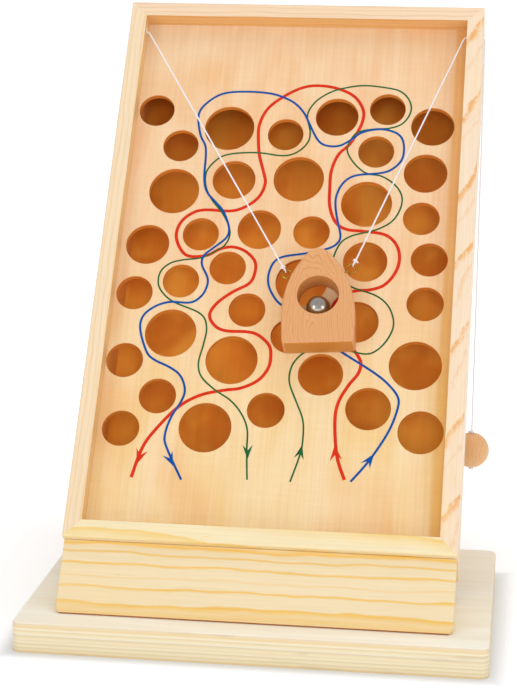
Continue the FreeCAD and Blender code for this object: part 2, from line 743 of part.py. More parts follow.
def back_panel_pins():
    """Round-headed pins through the back panel's margin into the rebate's shoulder."""
    side = size("box_width") / 2 - size("wall") + size("rebate_deep") / 2
    top = size("box_foot") + size("box_height") - size("wall") + size("rebate_deep") / 2
    places = [(across, top) for across in PIN_TOP_PLACES]
    for up in PIN_SIDE_PLACES:
        places += [(-side, up), (side, up)]
    back = size("rail_proud") - size("back_shoulder") - size("back_thick")
    members = []
    for index, (across, up) in enumerate(places):
        head = doc.addObject("Part::Cylinder", f"pin_head_{index}")
        head.setExpression("Radius", "design.pin_head")
        head.setExpression("Height", "design.pin_head_thick")
        head.setExpression(".Placement.Base.z", "-design.pin_head_thick")
        shank = doc.addObject("Part::Cylinder", f"pin_shank_{index}")
        shank.setExpression("Radius", "design.pin_radius")
        shank.setExpression("Height", "design.pin_long")
        pin = doc.addObject("Part::Fuse", f"pin_{index}")
        pin.Base = head
        pin.Tool = shank
        pin.Placement = sloping(across, up, back)
        members.append(pin)
    group("back_panel_pins", members)


# ---------------------------------------------------------------- build and export

foot_plate()
front_panel()
cheek(-1, "left_cheek")
cheek(1, "right_cheek")
bottom_rail()
top_rail()
side_board(-1, "left_side_board")
side_board(1, "right_side_board")
play_board()
back_panel()
shuttle_block()
steel_ball()
screw_eye(-1, "left")
screw_eye(1, "right")
cord_side(-1, "left", size("left_handle_height"))
cord_side(1, "right", size("right_handle_height"))
base_screws()
panel_dowels()
back_panel_pins()
doc.recompute()

for thing in doc.Objects:
    if "Invalid" in thing.State or "Error" in thing.State:
        raise RuntimeError(f"{thing.Name} failed: {thing.State}")
os.makedirs("parts", exist_ok=True)
for thing in parts:
    shape = thing.Shape
    if shape.isNull() or not shape.isValid():
        raise RuntimeError(f"{thing.Label} has no valid shape")
    shape.exportStep(f"parts/{thing.Label}.step")
    box = shape.BoundBox
    print(f"{thing.Label}: {len(shape.Solids)} solid(s), {shape.Volume / 1000:.2f} cm3, "
          f"x {box.XMin:.1f}..{box.XMax:.1f} y {box.YMin:.1f}..{box.YMax:.1f} "
          f"z {box.ZMin:.1f}..{box.ZMax:.1f}")
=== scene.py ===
import json
import math

import bmesh
import bpy
import numpy as np
from mathutils import Matrix, Vector


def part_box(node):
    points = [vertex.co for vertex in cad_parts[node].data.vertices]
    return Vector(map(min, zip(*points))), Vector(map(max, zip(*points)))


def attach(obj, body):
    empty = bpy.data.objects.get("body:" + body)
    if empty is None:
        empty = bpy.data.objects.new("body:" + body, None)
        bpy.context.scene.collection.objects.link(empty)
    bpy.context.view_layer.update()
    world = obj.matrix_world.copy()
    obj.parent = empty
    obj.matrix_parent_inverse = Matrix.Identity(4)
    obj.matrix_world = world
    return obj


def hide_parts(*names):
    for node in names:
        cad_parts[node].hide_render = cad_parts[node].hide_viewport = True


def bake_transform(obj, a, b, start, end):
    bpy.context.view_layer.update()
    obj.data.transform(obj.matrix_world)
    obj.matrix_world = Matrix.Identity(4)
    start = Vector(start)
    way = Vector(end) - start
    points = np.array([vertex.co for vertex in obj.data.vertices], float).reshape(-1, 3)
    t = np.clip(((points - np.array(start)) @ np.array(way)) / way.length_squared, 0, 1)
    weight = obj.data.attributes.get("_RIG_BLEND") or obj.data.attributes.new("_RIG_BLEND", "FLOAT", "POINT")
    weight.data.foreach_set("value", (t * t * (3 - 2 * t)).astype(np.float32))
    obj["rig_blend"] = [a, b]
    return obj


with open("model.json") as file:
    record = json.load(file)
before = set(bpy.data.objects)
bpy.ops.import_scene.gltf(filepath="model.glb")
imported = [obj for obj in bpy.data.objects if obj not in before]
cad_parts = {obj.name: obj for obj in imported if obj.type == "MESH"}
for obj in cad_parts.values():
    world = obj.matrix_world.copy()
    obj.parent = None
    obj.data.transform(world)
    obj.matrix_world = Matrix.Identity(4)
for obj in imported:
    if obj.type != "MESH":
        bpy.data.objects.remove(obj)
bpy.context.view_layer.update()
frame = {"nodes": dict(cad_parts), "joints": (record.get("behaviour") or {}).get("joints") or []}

MM = 0.001

# ---------------------------------------------------------------- the sloping frame
# x runs across, s up the slope and n out of it, all measured from the line where
# the front panel meets the foot plate.

LIFT = next(j for j in frame["joints"] if j["name"] == "shuttle_lift")
UP = Vector(LIFT["axis"]).normalized()
OUT = Vector((0, -UP.z, UP.y))
LEAN = math.atan2(UP.z, UP.y)
BOARD_FRONT = -6 * MM
BOX_TOP = 455 * MM
BORE_ACROSS, BORE_UP, SHUTTLE_TURN = 25.8, 224.4, math.radians(4)
BORE_OUT, BORE_RADIUS = 2.5, 14

# Each screw eye: its ring's place on the shuttle, and the lean and roll of its shank.
EYES = {"left": (-21.4, 19.6, 29, 12), "right": (21.9, 22.4, 31.6, 0)}
EYE_OUT, EYE_RING, EYE_WIRE = 2.5, 3.3, 0.7


def reach(node, direction):
    """Least and greatest distance of a CAD node along a direction."""
    along = [v.co.dot(direction) for v in frame["nodes"][node].data.vertices]
    return min(along), max(along)


ORIGIN = (UP * (reach("top_rail", UP)[1] - BOX_TOP)
          + OUT * (reach("play_board", OUT)[1] - BOARD_FRONT))


def place(x, s, n):
    """Point in the row frame from millimetres in the sloping frame."""
    return ORIGIN + Vector((x * MM, 0, 0)) + UP * (s * MM) + OUT * (n * MM)


# ---------------------------------------------------------------- camera

# Lens and sensor in millimetres, place in metres. A separate program fitted these numbers.
LENS = 102.63
SENSOR = 36
CAMERA_AT = (0.15883, -1.24846, 0.44767)
CAMERA_TILT = math.radians(77.89)
CAMERA_TURN = math.radians(7.59)
CAMERA_ROLL = math.radians(0.61)


def add_camera():
    data = bpy.data.cameras.new("camera")
    data.lens = LENS
    data.sensor_width = SENSOR
    camera = bpy.data.objects.new("camera", data)
    bpy.context.collection.objects.link(camera)
    camera.matrix_world = (Matrix.Translation(CAMERA_AT)
                           @ Matrix.Rotation(CAMERA_TURN, 4, "Z")
                           @ Matrix.Rotation(CAMERA_TILT, 4, "X")
                           @ Matrix.Rotation(CAMERA_ROLL, 4, "Z"))
    bpy.context.scene.camera = camera


add_camera()

# ---------------------------------------------------------------- materials


def tint(red, green, blue):
    """Linear colour from the usual 0 to 255 values."""
    def linear(value):
        value /= 255
        return value / 12.92 if value <= 0.04045 else ((value + 0.055) / 1.055) ** 2.4
    return (linear(red), linear(green), linear(blue), 1)


class Paint:
    """A node material in the making."""

    def __init__(self, name, roughness=0.5, metallic=0.0, specular=0.5):
        self.material = bpy.data.materials.new(name)
        self.material.use_nodes = True
        self.tree = self.material.node_tree
        self.surface = self.tree.nodes["Principled BSDF"]
        self.surface.inputs["Roughness"].default_value = roughness
        self.surface.inputs["Metallic"].default_value = metallic
        self.surface.inputs["Specular IOR Level"].default_value = specular

    def add(self, kind, values=None, **settings):
        made = self.tree.nodes.new(kind)
        for key, value in settings.items():
            setattr(made, key, value)
        for key, value in (values or {}).items():
            self.put(made.inputs[key], value)
        return made

    def put(self, socket, value):
        if isinstance(value, bpy.types.NodeSocket):
            self.tree.links.new(value, socket)
        else:
            socket.default_value = value

    def math(self, operation, first, second=0.0):
        return self.add("ShaderNodeMath", {0: first, 1: second}, operation=operation).outputs[0]

    def ramp(self, value, stops):
        made = self.add("ShaderNodeValToRGB", {0: value})
        elements = made.color_ramp.elements
        while len(elements) < len(stops):
            elements.new(0.5)
        for element, (position, colour) in zip(elements, stops):
            element.position = position
            element.color = colour
        return made.outputs[0]

    def share(self, value, low, high):
        """0 where value is at low, 1 where it is at high, smooth between."""
        made = self.add("ShaderNodeMapRange",
                        {"Value": value, "From Min": low, "From Max": high},
                        interpolation_type="SMOOTHSTEP")
        return made.outputs[0]

    def mix(self, share, first, second, blend="MIX"):
        made = self.add("ShaderNodeMix", {0: share, 6: first, 7: second},
                        data_type="RGBA", blend_type=blend)
        return made.outputs[2]

    def noise(self, vector, scale, detail=3.0, roughness=0.5, distortion=0.0):
        made = self.add("ShaderNodeTexNoise",
                        {"Vector": vector, "Scale": scale, "Detail": detail,
                         "Roughness": roughness, "Distortion": distortion})
        return made.outputs[0]

    def here(self):
        """The place on the object, in metres in the row frame."""
        return self.add("ShaderNodeTexCoord").outputs["Object"]

    def slope(self):
        """The place as x, s and n of the sloping frame, in metres."""
        made = self.add("ShaderNodeMapping",
                        {"Vector": self.here(), "Location": ORIGIN,
                         "Rotation": (LEAN, 0, 0)}, vector_type="TEXTURE")
        return made.outputs[0]

    def parts(self, vector):
        return self.add("ShaderNodeSeparateXYZ", {0: vector}).outputs

    def stretched(self, vector, scale, shift=(0, 0, 0)):
        made = self.add("ShaderNodeMapping",
                        {"Vector": vector, "Scale": scale, "Location": shift})
        return made.outputs[0]

    def bump(self, height, distance, strength):
        made = self.add("ShaderNodeBump",
                        {"Height": height, "Distance": distance, "Strength": strength})
        self.put(self.surface.inputs["Normal"], made.outputs[0])

    def colour(self, value):
        self.put(self.surface.inputs["Base Color"], value)

    def rough(self, value, low, high):
        made = self.add("ShaderNodeMapRange",
                        {"Value": value, "To Min": low, "To Max": high})
        self.put(self.surface.inputs["Roughness"], made.outputs[0])


def squeezed(along, factor):
    """Scale that stretches a pattern along one axis."""
    return tuple(factor if axis == along else 1.0 for axis in range(3))


def fibres(paint, vector, along, fineness=900, squeeze=0.018, detail=4.0):
    """Fine streaks along the grain."""
    moved = paint.stretched(vector, squeezed(along, squeeze))
    return paint.noise(moved, fineness, detail, 0.6)


def wander(paint, vector, along, scale, squeeze, amount):
    """A length that swings slowly by about a fifth of amount either way."""
    moved = paint.stretched(vector, squeezed(along, squeeze))
    return paint.math("MULTIPLY", paint.math("SUBTRACT", paint.noise(moved, scale, 2), 0.5),
                      amount * MM)


def rings(pith, profile, sway=8.0, ripple=2.5, slant=0.0):
    """Growth rings round a pith line: dark share against distance, in millimetres.

    The profile starts at the distance of its first entry and repeats after its last.
    """
    first, last = profile[0][0], profile[-1][0]

    def figure(paint, vector, along):
        centred = paint.stretched(vector, squeezed(along, 0.0), tuple(
            0 if axis == along else -pith[axis] * MM for axis in range(3)))
        away = paint.add("ShaderNodeVectorMath", {0: centred}, operation="LENGTH").outputs[1]
        away = paint.math("ADD", away, wander(paint, vector, along, 30, 0.4, sway))
        away = paint.math("ADD", away, wander(paint, vector, along, 130, 0.35, ripple))
        away = paint.math("ADD", away, paint.math(
            "MULTIPLY", paint.parts(vector)[along], slant))
        turn = paint.math("DIVIDE", paint.math("SUBTRACT", away, first * MM),
                          (last - first) * MM)
        stops = [((at - first) / (last - first), (share,) * 3 + (1,))
                 for at, share in profile]
        return paint.ramp(paint.math("FRACT", turn), stops)
    return figure


# The right side board's latewood: where its arches peak, how steep, blunt and ragged they
# are, and the dark share through one tongue.
ARCH_CENTRE = -20 * MM
ARCH_STEEPNESS = 1.9
ARCH_BLUNTNESS = 8 * MM
FRAY = 8 * MM
TONGUE = [(0.0, 0.03), (0.50, 0.05), (0.58, 0.4), (0.64, 0.05), (0.80, 0.12), (0.89, 0.9),
          (0.94, 1.0), (0.98, 0.1), (1.0, 0.03)]


def tongues(spacing, start, slant):
    """Latewood that surfaces in ragged slanting tongues, nested in arches down the face."""
    def figure(paint, vector, along):
        fray = paint.stretched(vector, squeezed(along, 0.3))
        fray = paint.math("MULTIPLY", paint.math(
            "SUBTRACT", paint.noise(fray, 330, 3, 0.65), 0.5), FRAY)
        x, _, n = paint.parts(vector)
        arch = paint.math("SUBTRACT", n, ARCH_CENTRE)
        arch = paint.math("SQRT", paint.math(
            "ADD", paint.math("MULTIPLY", arch, arch), ARCH_BLUNTNESS ** 2))
        up = paint.math("ADD", paint.parts(vector)[along], fray)
        up = paint.math("ADD", up, wander(paint, vector, along, 34, 1.0, 34))
        up = paint.math("ADD", up, paint.math("MULTIPLY", arch, ARCH_STEEPNESS))
        up = paint.math("SUBTRACT", up, paint.math("MULTIPLY", x, slant))
        turn = paint.math("FRACT", paint.math(
            "DIVIDE", paint.math("SUBTRACT", up, start * MM), spacing * MM))
        band = paint.ramp(turn, [(at, (level,) * 3 + (1,)) for at, level in TONGUE])
        spots = paint.noise(paint.stretched(vector, squeezed(along, 0.5)), 420, 2, 0.5, 0.4)
        return paint.math("MULTIPLY", band, paint.math(
            "ADD", paint.math("MULTIPLY", paint.share(spots, 0.36, 0.56), 0.6), 0.4))
    return figure


# Height of the painted contact shadow where the front panel meets the foot plate.
CONTACT_SHADOW_HIGH = 1.4 * MM


def timber(name, along, figure, pale, deep, blotch, blotch_share=0.4, inner=None,
           contact_shadow=None):
    """Lacquered solid wood: growth rings, fibres, blotches and a fine raised grain."""
    paint = Paint(name, specular=0.35)
    vector = paint.slope()
    band = figure(paint, vector, along)
    wood = paint.mix(band, pale, deep)
    patch = paint.noise(paint.stretched(vector, squeezed(along, 0.3)), 28, 3, 0.55)
    patch = paint.math("MULTIPLY", paint.share(patch, 0.48, 0.7), blotch_share)
    wood = paint.mix(patch, wood, blotch)
    dash = paint.noise(paint.stretched(vector, squeezed(along, 0.16)), 300, 1, 0.4)
    dash = paint.math("MULTIPLY", paint.share(dash, 0.76, 0.82), 0.6)
    wood = paint.mix(dash, wood, deep)
    streak = fibres(paint, vector, along)
    lines = paint.mix(paint.share(streak, 0.25, 0.75), (0.95, 0.94, 0.92, 1),
                      (1.02, 1.02, 1.02, 1))
    wood = paint.mix(1.0, wood, lines, "MULTIPLY")
    # Painted warm bounce light on the faces inside the box.
    if inner:
        wood = painted_bounce_inside(paint, vector, wood, inner)
    # Painted contact shadow along the front panel's foot, where it meets the foot plate.
    if contact_shadow:
        low = paint.math("LESS_THAN", paint.parts(vector)[1], CONTACT_SHADOW_HIGH)
        wood = paint.mix(low, wood, contact_shadow)
    paint.colour(wood)
    paint.rough(streak, 0.4, 0.52)
    height = paint.math("ADD", streak, paint.math("MULTIPLY", band, 0.6))
    paint.bump(height, 0.06 * MM, 0.35)
    return paint.material


# The space inside the box, with the inner faces of the side boards and the top rail, and the painted glow of
# bounce light on the faces under the board.
INNER_HALF = 114.7 * MM
INNER_LOW = 61.8 * MM
INNER_HIGH = 443.7 * MM
UNDER_BOARD = BOARD_FRONT - 3 * MM
PAINTED_BOX_GLOW = (0.98, 0.62, 0.24, 1)


def painted_bounce_inside(paint, vector, wood, colour):
    """Painted warm bounce light: the faces that look into the box get a deeper, more orange colour."""
    x, s, n = paint.parts(vector)
    inside = paint.math("LESS_THAN", paint.math("ABSOLUTE", x), INNER_HALF)
    inside = paint.math("MULTIPLY", inside, paint.math("GREATER_THAN", s, INNER_LOW))
    inside = paint.math("MULTIPLY", inside, paint.math("LESS_THAN", s, INNER_HIGH))
    under = paint.mix(paint.math("LESS_THAN", n, UNDER_BOARD), colour, PAINTED_BOX_GLOW)
    return paint.mix(inside, wood, paint.mix(1.0, wood, under, "MULTIPLY"))


# Where the board grows yellower down the slope, where the painted shadow of the right side board lies along
# its right edge, its plies from its back, and how far below the front the hole walls start.
YELLOW_FROM_TO = (300 * MM, 120 * MM)
RAIL_SHADOW_ACROSS = (105.5 * MM, 109 * MM)
BOARD_BACK = -10 * MM
PLY = 1.9 * MM
CORE_FROM_TO = (1.05 * MM, 1.25 * MM)
WALL_DEPTH = 0.04 * MM


def board_wood():
    """The play board's rotary-cut face with fine upright streaks, a painted shadow of the right side board
    along its right edge, and hole walls whose plies are deepened to orange by painted shade and bounce
    light.
    """
    paint = Paint("play_board_wood", specular=0.35)
    vector = paint.slope()
    x, s, n = paint.parts(vector)
    broad = paint.noise(paint.stretched(vector, (1, 0.3, 1)), 34, 3, 0.5, 0.6)
    wood = paint.mix(paint.share(broad, 0.32, 0.68), tint(235, 204, 166),
                     tint(232, 190, 148))
    low = paint.share(s, *YELLOW_FROM_TO)
    wood = paint.mix(low, wood, paint.mix(paint.share(broad, 0.32, 0.68),
                                          tint(236, 210, 166), tint(233, 199, 142)))
    blush = paint.noise(paint.stretched(vector, (1, 0.5, 1), (0.3, 0.1, 0)), 19, 2, 0.5)
    wood = paint.mix(paint.math("MULTIPLY", paint.share(blush, 0.5, 0.72), 0.6), wood,
                     tint(230, 180, 126))
    tongue = paint.noise(paint.stretched(vector, (1, 0.1, 1), (0.1, 0.7, 0)), 58, 2, 0.4, 0.3)
    wood = paint.mix(paint.math("MULTIPLY", paint.share(tongue, 0.60, 0.63), 0.3), wood,
                     tint(238, 208, 172))
    streak = fibres(paint, vector, 1, 520, 0.02, 5)
    lines = paint.mix(paint.share(streak, 0.3, 0.7), (0.97, 0.94, 0.90, 1),
                      (1.02, 1.02, 1.02, 1))
    wood = paint.mix(1.0, wood, lines, "MULTIPLY")
    ripple = paint.noise(paint.stretched(vector, (0.1, 1, 1), (0.4, 0.2, 0)), 330, 3, 0.6, 0.3)
    wood = paint.mix(1.0, wood, paint.mix(paint.share(ripple, 0.40, 0.75),
                                          (0.99, 0.975, 0.945, 1), (1.01, 1.01, 1.02, 1)),
                     "MULTIPLY")
    # Painted shadow of the right side board along the board's right edge.
    edge = paint.share(x, *RAIL_SHADOW_ACROSS)
    wood = paint.mix(edge, wood, paint.mix(1.0, wood, (0.93, 0.78, 0.5, 1), "MULTIPLY"))
    plies = paint.math("PINGPONG", paint.math("ADD", n, -BOARD_BACK), PLY)
    core = paint.share(plies, *CORE_FROM_TO)
    # Hole walls: their plies, deepened to orange by painted shade and bounce light.
    wall = paint.mix(core, tint(228, 148, 62), tint(200, 116, 42))
    wall = paint.mix(paint.math("MULTIPLY", streak, 0.5), wall, tint(216, 134, 54))
    deep = paint.math("LESS_THAN", n, BOARD_FRONT - WALL_DEPTH)
    wood = paint.mix(deep, wood, wall)
    paint.colour(wood)
    paint.rough(streak, 0.4, 0.52)
    paint.bump(streak, 0.05 * MM, 0.3)
    return paint.material


# Painted shade: the back panel darkens up the slope. It is pale on its rear face.
PAINTED_SHADE_UP_BACK = (250 * MM, 440 * MM)
REAR_FACE = -44.5 * MM


def back_wood():
    """Thin plywood of the back: inside, a saturated orange-brown that is partly painted bounce light, with
    painted patches of light and shade and painted shade up the slope; paler behind.
    """
    paint = Paint("back_panel_wood", specular=0.25)
    vector = paint.slope()
    _, s, n = paint.parts(vector)
    broad = paint.noise(paint.stretched(vector, (1, 0.2, 1), (0.7, 0.2, 0)), 26, 3, 0.55, 0.8)
    # The wood's own orange tone, deepened and saturated to stand for painted bounce light inside the box.
    wood = paint.mix(paint.share(broad, 0.3, 0.7), tint(255, 186, 72), tint(252, 160, 50))
    # Broad patches: painted light and shade from light falling through the holes.
    patch = paint.noise(paint.stretched(vector, (1, 0.8, 1), (0.2, 0.5, 0)), 30, 2, 0.5)
    wood = paint.mix(paint.math("MULTIPLY", paint.share(patch, 0.42, 0.66), 0.75), wood,
                     tint(226, 128, 34))
    streak = fibres(paint, vector, 1, 420, 0.02, 4)
    wood = paint.mix(1.0, wood, paint.mix(streak, (0.92, 0.89, 0.85, 1), (1.03,) * 3 + (1,)),
                     "MULTIPLY")
    # Painted shade, darker towards the top of the back panel.
    top = paint.share(s, *PAINTED_SHADE_UP_BACK)
    wood = paint.mix(paint.math("MULTIPLY", top, 0.6), wood, tint(180, 92, 26))
    behind = paint.math("LESS_THAN", n, REAR_FACE)
    pale = paint.mix(streak, tint(212, 170, 116), tint(232, 198, 148))
    wood = paint.mix(behind, wood, pale)
    paint.colour(wood)
    paint.rough(streak, 0.5, 0.65)
    paint.bump(streak, 0.06 * MM, 0.4)
    return paint.material


FOOT_THICK = 19 * MM


def foot_wood():
    """Thick birch plywood: calm face with small specks, faintly striped edges."""
    paint = Paint("foot_plate_wood", specular=0.3)
    vector = paint.here()
    z = paint.parts(vector)[2]
    broad = paint.noise(paint.stretched(vector, (0.12, 1, 1)), 46, 3, 0.5, 0.8)
    face = paint.mix(paint.share(broad, 0.3, 0.7), tint(247, 241, 226), tint(242, 233, 213))
    streak = fibres(paint, vector, 0, 600, 0.02, 5)
    face = paint.mix(1.0, face, paint.mix(paint.share(streak, 0.3, 0.7),
                     (0.97, 0.965, 0.95, 1), (1.01,) * 3 + (1,)), "MULTIPLY")
    cells = paint.add("ShaderNodeTexVoronoi",
                      {"Vector": paint.stretched(vector, (0.5, 1, 1)), "Scale": 60,
                       "Randomness": 1.0})
    chosen = paint.math("GREATER_THAN", paint.parts(cells.outputs["Color"])[0], 0.8)
    dot = paint.math("LESS_THAN", cells.outputs["Distance"], 0.035)
    face = paint.mix(paint.math("MULTIPLY", paint.math("MULTIPLY", dot, chosen), 0.6), face,
                     tint(150, 130, 96))
    ply = paint.math("ADD", z, wander(paint, vector, 0, 60, 0.2, 0.8))
    layer = paint.ramp(paint.math("FRACT", paint.math("DIVIDE", ply, FOOT_THICK)), [
        (0.0, tint(238, 208, 150)), (0.06, tint(240, 222, 176)), (0.10, tint(246, 236, 204)),
        (0.17, tint(236, 218, 172)), (0.20, tint(247, 238, 208)), (0.27, tint(243, 230, 194)),
        (0.31, tint(232, 214, 170)), (0.34, tint(248, 240, 212)), (0.43, tint(240, 226, 186)),
        (0.47, tint(246, 237, 206)), (0.55, tint(238, 222, 178)), (0.58, tint(228, 216, 190)),
        (0.62, tint(247, 240, 214)), (0.71, tint(243, 230, 190)), (0.75, tint(234, 218, 178)),
        (0.79, tint(249, 242, 218)), (0.88, tint(240, 218, 168)), (0.93, tint(242, 224, 186)),
        (1.0, tint(240, 226, 200))])
    smudge = paint.noise(paint.stretched(vector, (0.12, 0.12, 1)), 210, 2, 0.5)
    layer = paint.mix(paint.math("MULTIPLY", paint.share(smudge, 0.6, 0.75), 0.35), layer,
                      tint(206, 190, 160))
    edge = paint.mix(1.0, layer, paint.mix(streak, (0.86, 0.82, 0.79, 1),
                                           (0.89, 0.85, 0.82, 1)), "MULTIPLY")
    normal = paint.add("ShaderNodeNewGeometry").outputs["Normal"]
    upright = paint.math("ABSOLUTE", paint.parts(normal)[2])
    wood = paint.mix(paint.share(upright, 0.75, 0.93), edge, face)
    paint.colour(wood)
    paint.rough(streak, 0.46, 0.58)
    paint.bump(streak, 0.05 * MM, 0.35)
    return paint.material


def beech_over(paint, vector, along, figure, pale, deep):
    """Close-grained beech with short dark flecks, as a colour; also returns its fibres."""
    wood = paint.mix(figure(paint, vector, along), pale, deep)
    fleck = paint.noise(paint.stretched(vector, squeezed(along, 0.12)), 1500, 2, 0.5)
    flecks = paint.math("MULTIPLY", paint.share(fleck, 0.62, 0.72), 0.25)
    wood = paint.mix(flecks, wood, tint(196, 122, 76))
    streak = fibres(paint, vector, along, 700, 0.03)
    wood = paint.mix(1.0, wood, paint.mix(streak, (0.95, 0.93, 0.91, 1), (1.03,) * 3 + (1,)),
                     "MULTIPLY")
    return wood, streak


def beech(name, figure, pale, deep, along, vector_of):
    paint = Paint(name, specular=0.4)
    wood, streak = beech_over(paint, getattr(paint, vector_of)(), along, figure, pale, deep)
    paint.colour(wood)
    paint.rough(streak, 0.36, 0.48)
    paint.bump(streak, 0.05 * MM, 0.3)
    return paint.material


FINE_RINGS = [(0, 0.1), (1.1, 0.15), (1.6, 0.75), (1.8, 0.1), (3.2, 0.2), (3.9, 0.95),
              (4.1, 0.1), (5.6, 0.15), (6.1, 0.6), (6.3, 0.1), (8.2, 0.2), (8.8, 0.85),
              (9.0, 0.1)]
SHUTTLE_RINGS = [(0, 0.1), (0.8, 0.15), (1.2, 0.8), (1.4, 0.1), (2.3, 0.2), (2.8, 1.0),
                 (3.0, 0.1), (4.0, 0.15), (4.4, 0.7), (4.6, 0.1), (5.6, 0.2), (6.1, 0.9),
                 (6.3, 0.1)]


# From the bore's centre: where the end grain starts, and the thickness counted as bore wall.
END_GRAIN_UP = -34.4 * MM
BORE_SKIN = 0.06
GRAIN_TILT = math.radians(-15)


def shuttle_beech():
    """Flat-sawn beech: arched rings on the face, painted shade and warm bounce light on the bore wall,
    golden end grain.
    """
    paint = Paint("shuttle_beech", specular=0.35)
    vector = paint.slope()
    centre = (BORE_ACROSS * MM, BORE_UP * MM, BORE_OUT * MM)
    local = paint.add("ShaderNodeMapping",
                      {"Vector": vector, "Location": centre, "Rotation": (0, 0, SHUTTLE_TURN)},
                      vector_type="TEXTURE").outputs[0]
    leaning = paint.add("ShaderNodeMapping",
                        {"Vector": vector, "Location": centre,
                         "Rotation": (GRAIN_TILT, 0, SHUTTLE_TURN)},
                        vector_type="TEXTURE").outputs[0]
    wood, streak = beech_over(paint, leaning, 1, rings((-4, 0, 0.5), SHUTTLE_RINGS, 10.0, 5.0),
                              tint(219, 163, 110), tint(206, 137, 88))
    x, y, _ = paint.parts(local)
    end = paint.math("LESS_THAN", y, END_GRAIN_UP)
    wood = paint.mix(end, wood, paint.mix(1.0, wood, (0.84, 0.68, 0.30, 1), "MULTIPLY"))
    away = paint.math("SQRT", paint.math("ADD", paint.math("MULTIPLY", x, x),
                                         paint.math("MULTIPLY", y, y)))
    # Painted shade and warm bounce light on the bore wall.
    bore = paint.math("LESS_THAN", away, (BORE_RADIUS + BORE_SKIN) * MM)
    wood = paint.mix(bore, wood, paint.mix(1.0, wood, (0.93, 0.82, 0.58, 1), "MULTIPLY"))
    paint.colour(wood)
    paint.rough(streak, 0.42, 0.54)
    paint.bump(streak, 0.05 * MM, 0.3)
    return paint.material


def metal(name, colour, dark, roughness, marks=400):
    paint = Paint(name, metallic=1.0)
    spread = paint.noise(paint.here(), marks, 3, 0.6)
    paint.colour(paint.mix(paint.share(spread, 0.35, 0.7), colour, dark))
    paint.rough(spread, *roughness)
    return paint.material


def cord_fibre():
    """White twisted cord with fine fluff."""
    paint = Paint("cord_fibre", roughness=0.85, specular=0.2)
    paint.surface.inputs["Sheen Weight"].default_value = 0.3
    spread = paint.noise(paint.here(), 2600, 3, 0.7)
    paint.colour(paint.mix(spread, tint(226, 223, 228), tint(248, 246, 250)))
    paint.bump(spread, 0.12 * MM, 0.5)
    return paint.material


def ink(name, colour, dark):
    """Printed line, a little uneven where the grain takes less ink."""
    paint = Paint(name, roughness=0.5, specular=0.15)
    streak = fibres(paint, paint.slope(), 1, 700, 0.05, 3)
    paint.colour(paint.mix(paint.share(streak, 0.35, 0.75), dark, colour))
    paint.bump(streak, 0.03 * MM, 0.3)
    return paint.material


PANEL_RINGS = [(98.5, 0.3), (101.0, 0.6), (104.0, 0.35), (106.9, 1.0), (107.9, 0.02),
               (115.6, 0.03), (117.1, 1.0), (118.1, 0.02), (122.9, 0.02), (123.8, 0.4),
               (124.6, 0.01), (129.8, 0.03), (131.2, 1.0), (132.2, 0.02), (136.7, 0.03),
               (137.9, 0.95), (138.8, 0.03), (141.4, 0.05), (143.2, 1.0), (145.0, 0.3),
               (152.0, 0.3)]
RAIL_RINGS = [(80.0, 0.1), (81.6, 0.15), (82.3, 0.7), (82.7, 0.1), (84.6, 0.2), (85.4, 0.85),
              (85.8, 0.15), (87.6, 0.1), (88.2, 0.55), (88.6, 0.1), (90.6, 0.25), (91.6, 0.9),
              (92.0, 0.1), (93.8, 0.15), (94.4, 0.7), (94.8, 0.1), (96.7, 0.15), (97.3, 0.6),
              (97.7, 0.1), (99.4, 0.2), (100.0, 0.8), (100.4, 0.1)]
WIDE_RINGS = [(60.0, 0.1), (66.0, 0.5), (69.0, 0.95), (70.0, 0.1), (76.0, 0.08), (82.0, 0.6),
              (84.0, 1.0), (85.0, 0.05), (92.0, 0.1)]
CHEEK = tint(244, 226, 188), tint(236, 196, 130), tint(240, 212, 164)

WOODS = {
    "foot_plate": foot_wood(),
    "front_panel": timber("front_panel_wood", 0, rings((0, -90, -40), PANEL_RINGS, 7.0, 2.2),
                          tint(234, 215, 178), tint(235, 188, 88), tint(237, 209, 154),
                          # A painted contact shadow along the panel's foot.
                          contact_shadow=tint(172, 100, 36)),
    # The inner colours are painted warm bounce light on the faces inside the box.
    "top_rail": timber("top_rail_wood", 0, rings((0, 380, -60), RAIL_RINGS, 4.0, 1.6),
                       tint(236, 210, 182), tint(220, 174, 124), tint(234, 200, 160),
                       inner=(0.88, 0.66, 0.36, 1)),
    "bottom_rail": timber("bottom_rail_wood", 0,
                          rings((0, -10, -30), WIDE_RINGS, 16.0, 3.0, 0.05),
                          tint(236, 221, 184), tint(234, 198, 116), tint(236, 213, 160)),
    "left_side_board": timber("left_side_wood", 1, rings((-190, 0, -60), RAIL_RINGS, 4.0, 1.6),
                              tint(235, 215, 186), tint(228, 184, 120),
                              tint(234, 200, 148), inner=(0.97, 0.82, 0.58, 1)),
    "right_side_board": timber("right_side_wood", 1, tongues(60, 96, 1.8),
                               tint(236, 214, 188), tint(228, 168, 98),
                               tint(240, 212, 166), 0.6, inner=(0.97, 0.8, 0.5, 1)),
    "left_cheek": timber("left_cheek_wood", 1, rings((-170, 0, -60), RAIL_RINGS), *CHEEK),
    "right_cheek": timber("right_cheek_wood", 1, rings((90, 0, -60), RAIL_RINGS), *CHEEK),
    "play_board": board_wood(),
    "back_panel": back_wood(),
    "shuttle_block": shuttle_beech(),
    "panel_dowels": beech("dowel_beech", rings((0, 0, 0), FINE_RINGS), tint(226, 186, 130),
                          tint(204, 156, 100), 1, "slope"),
}
CORD = cord_fibre()
BRASS = metal("brass", tint(226, 176, 78), tint(150, 104, 34), (0.14, 0.26), 1500)
STEEL = metal("polished_steel", tint(190, 182, 172), tint(174, 166, 156), (0.2, 0.26), 200)
ZINC = metal("zinc_steel", tint(196, 198, 202), tint(150, 152, 158), (0.25, 0.45))
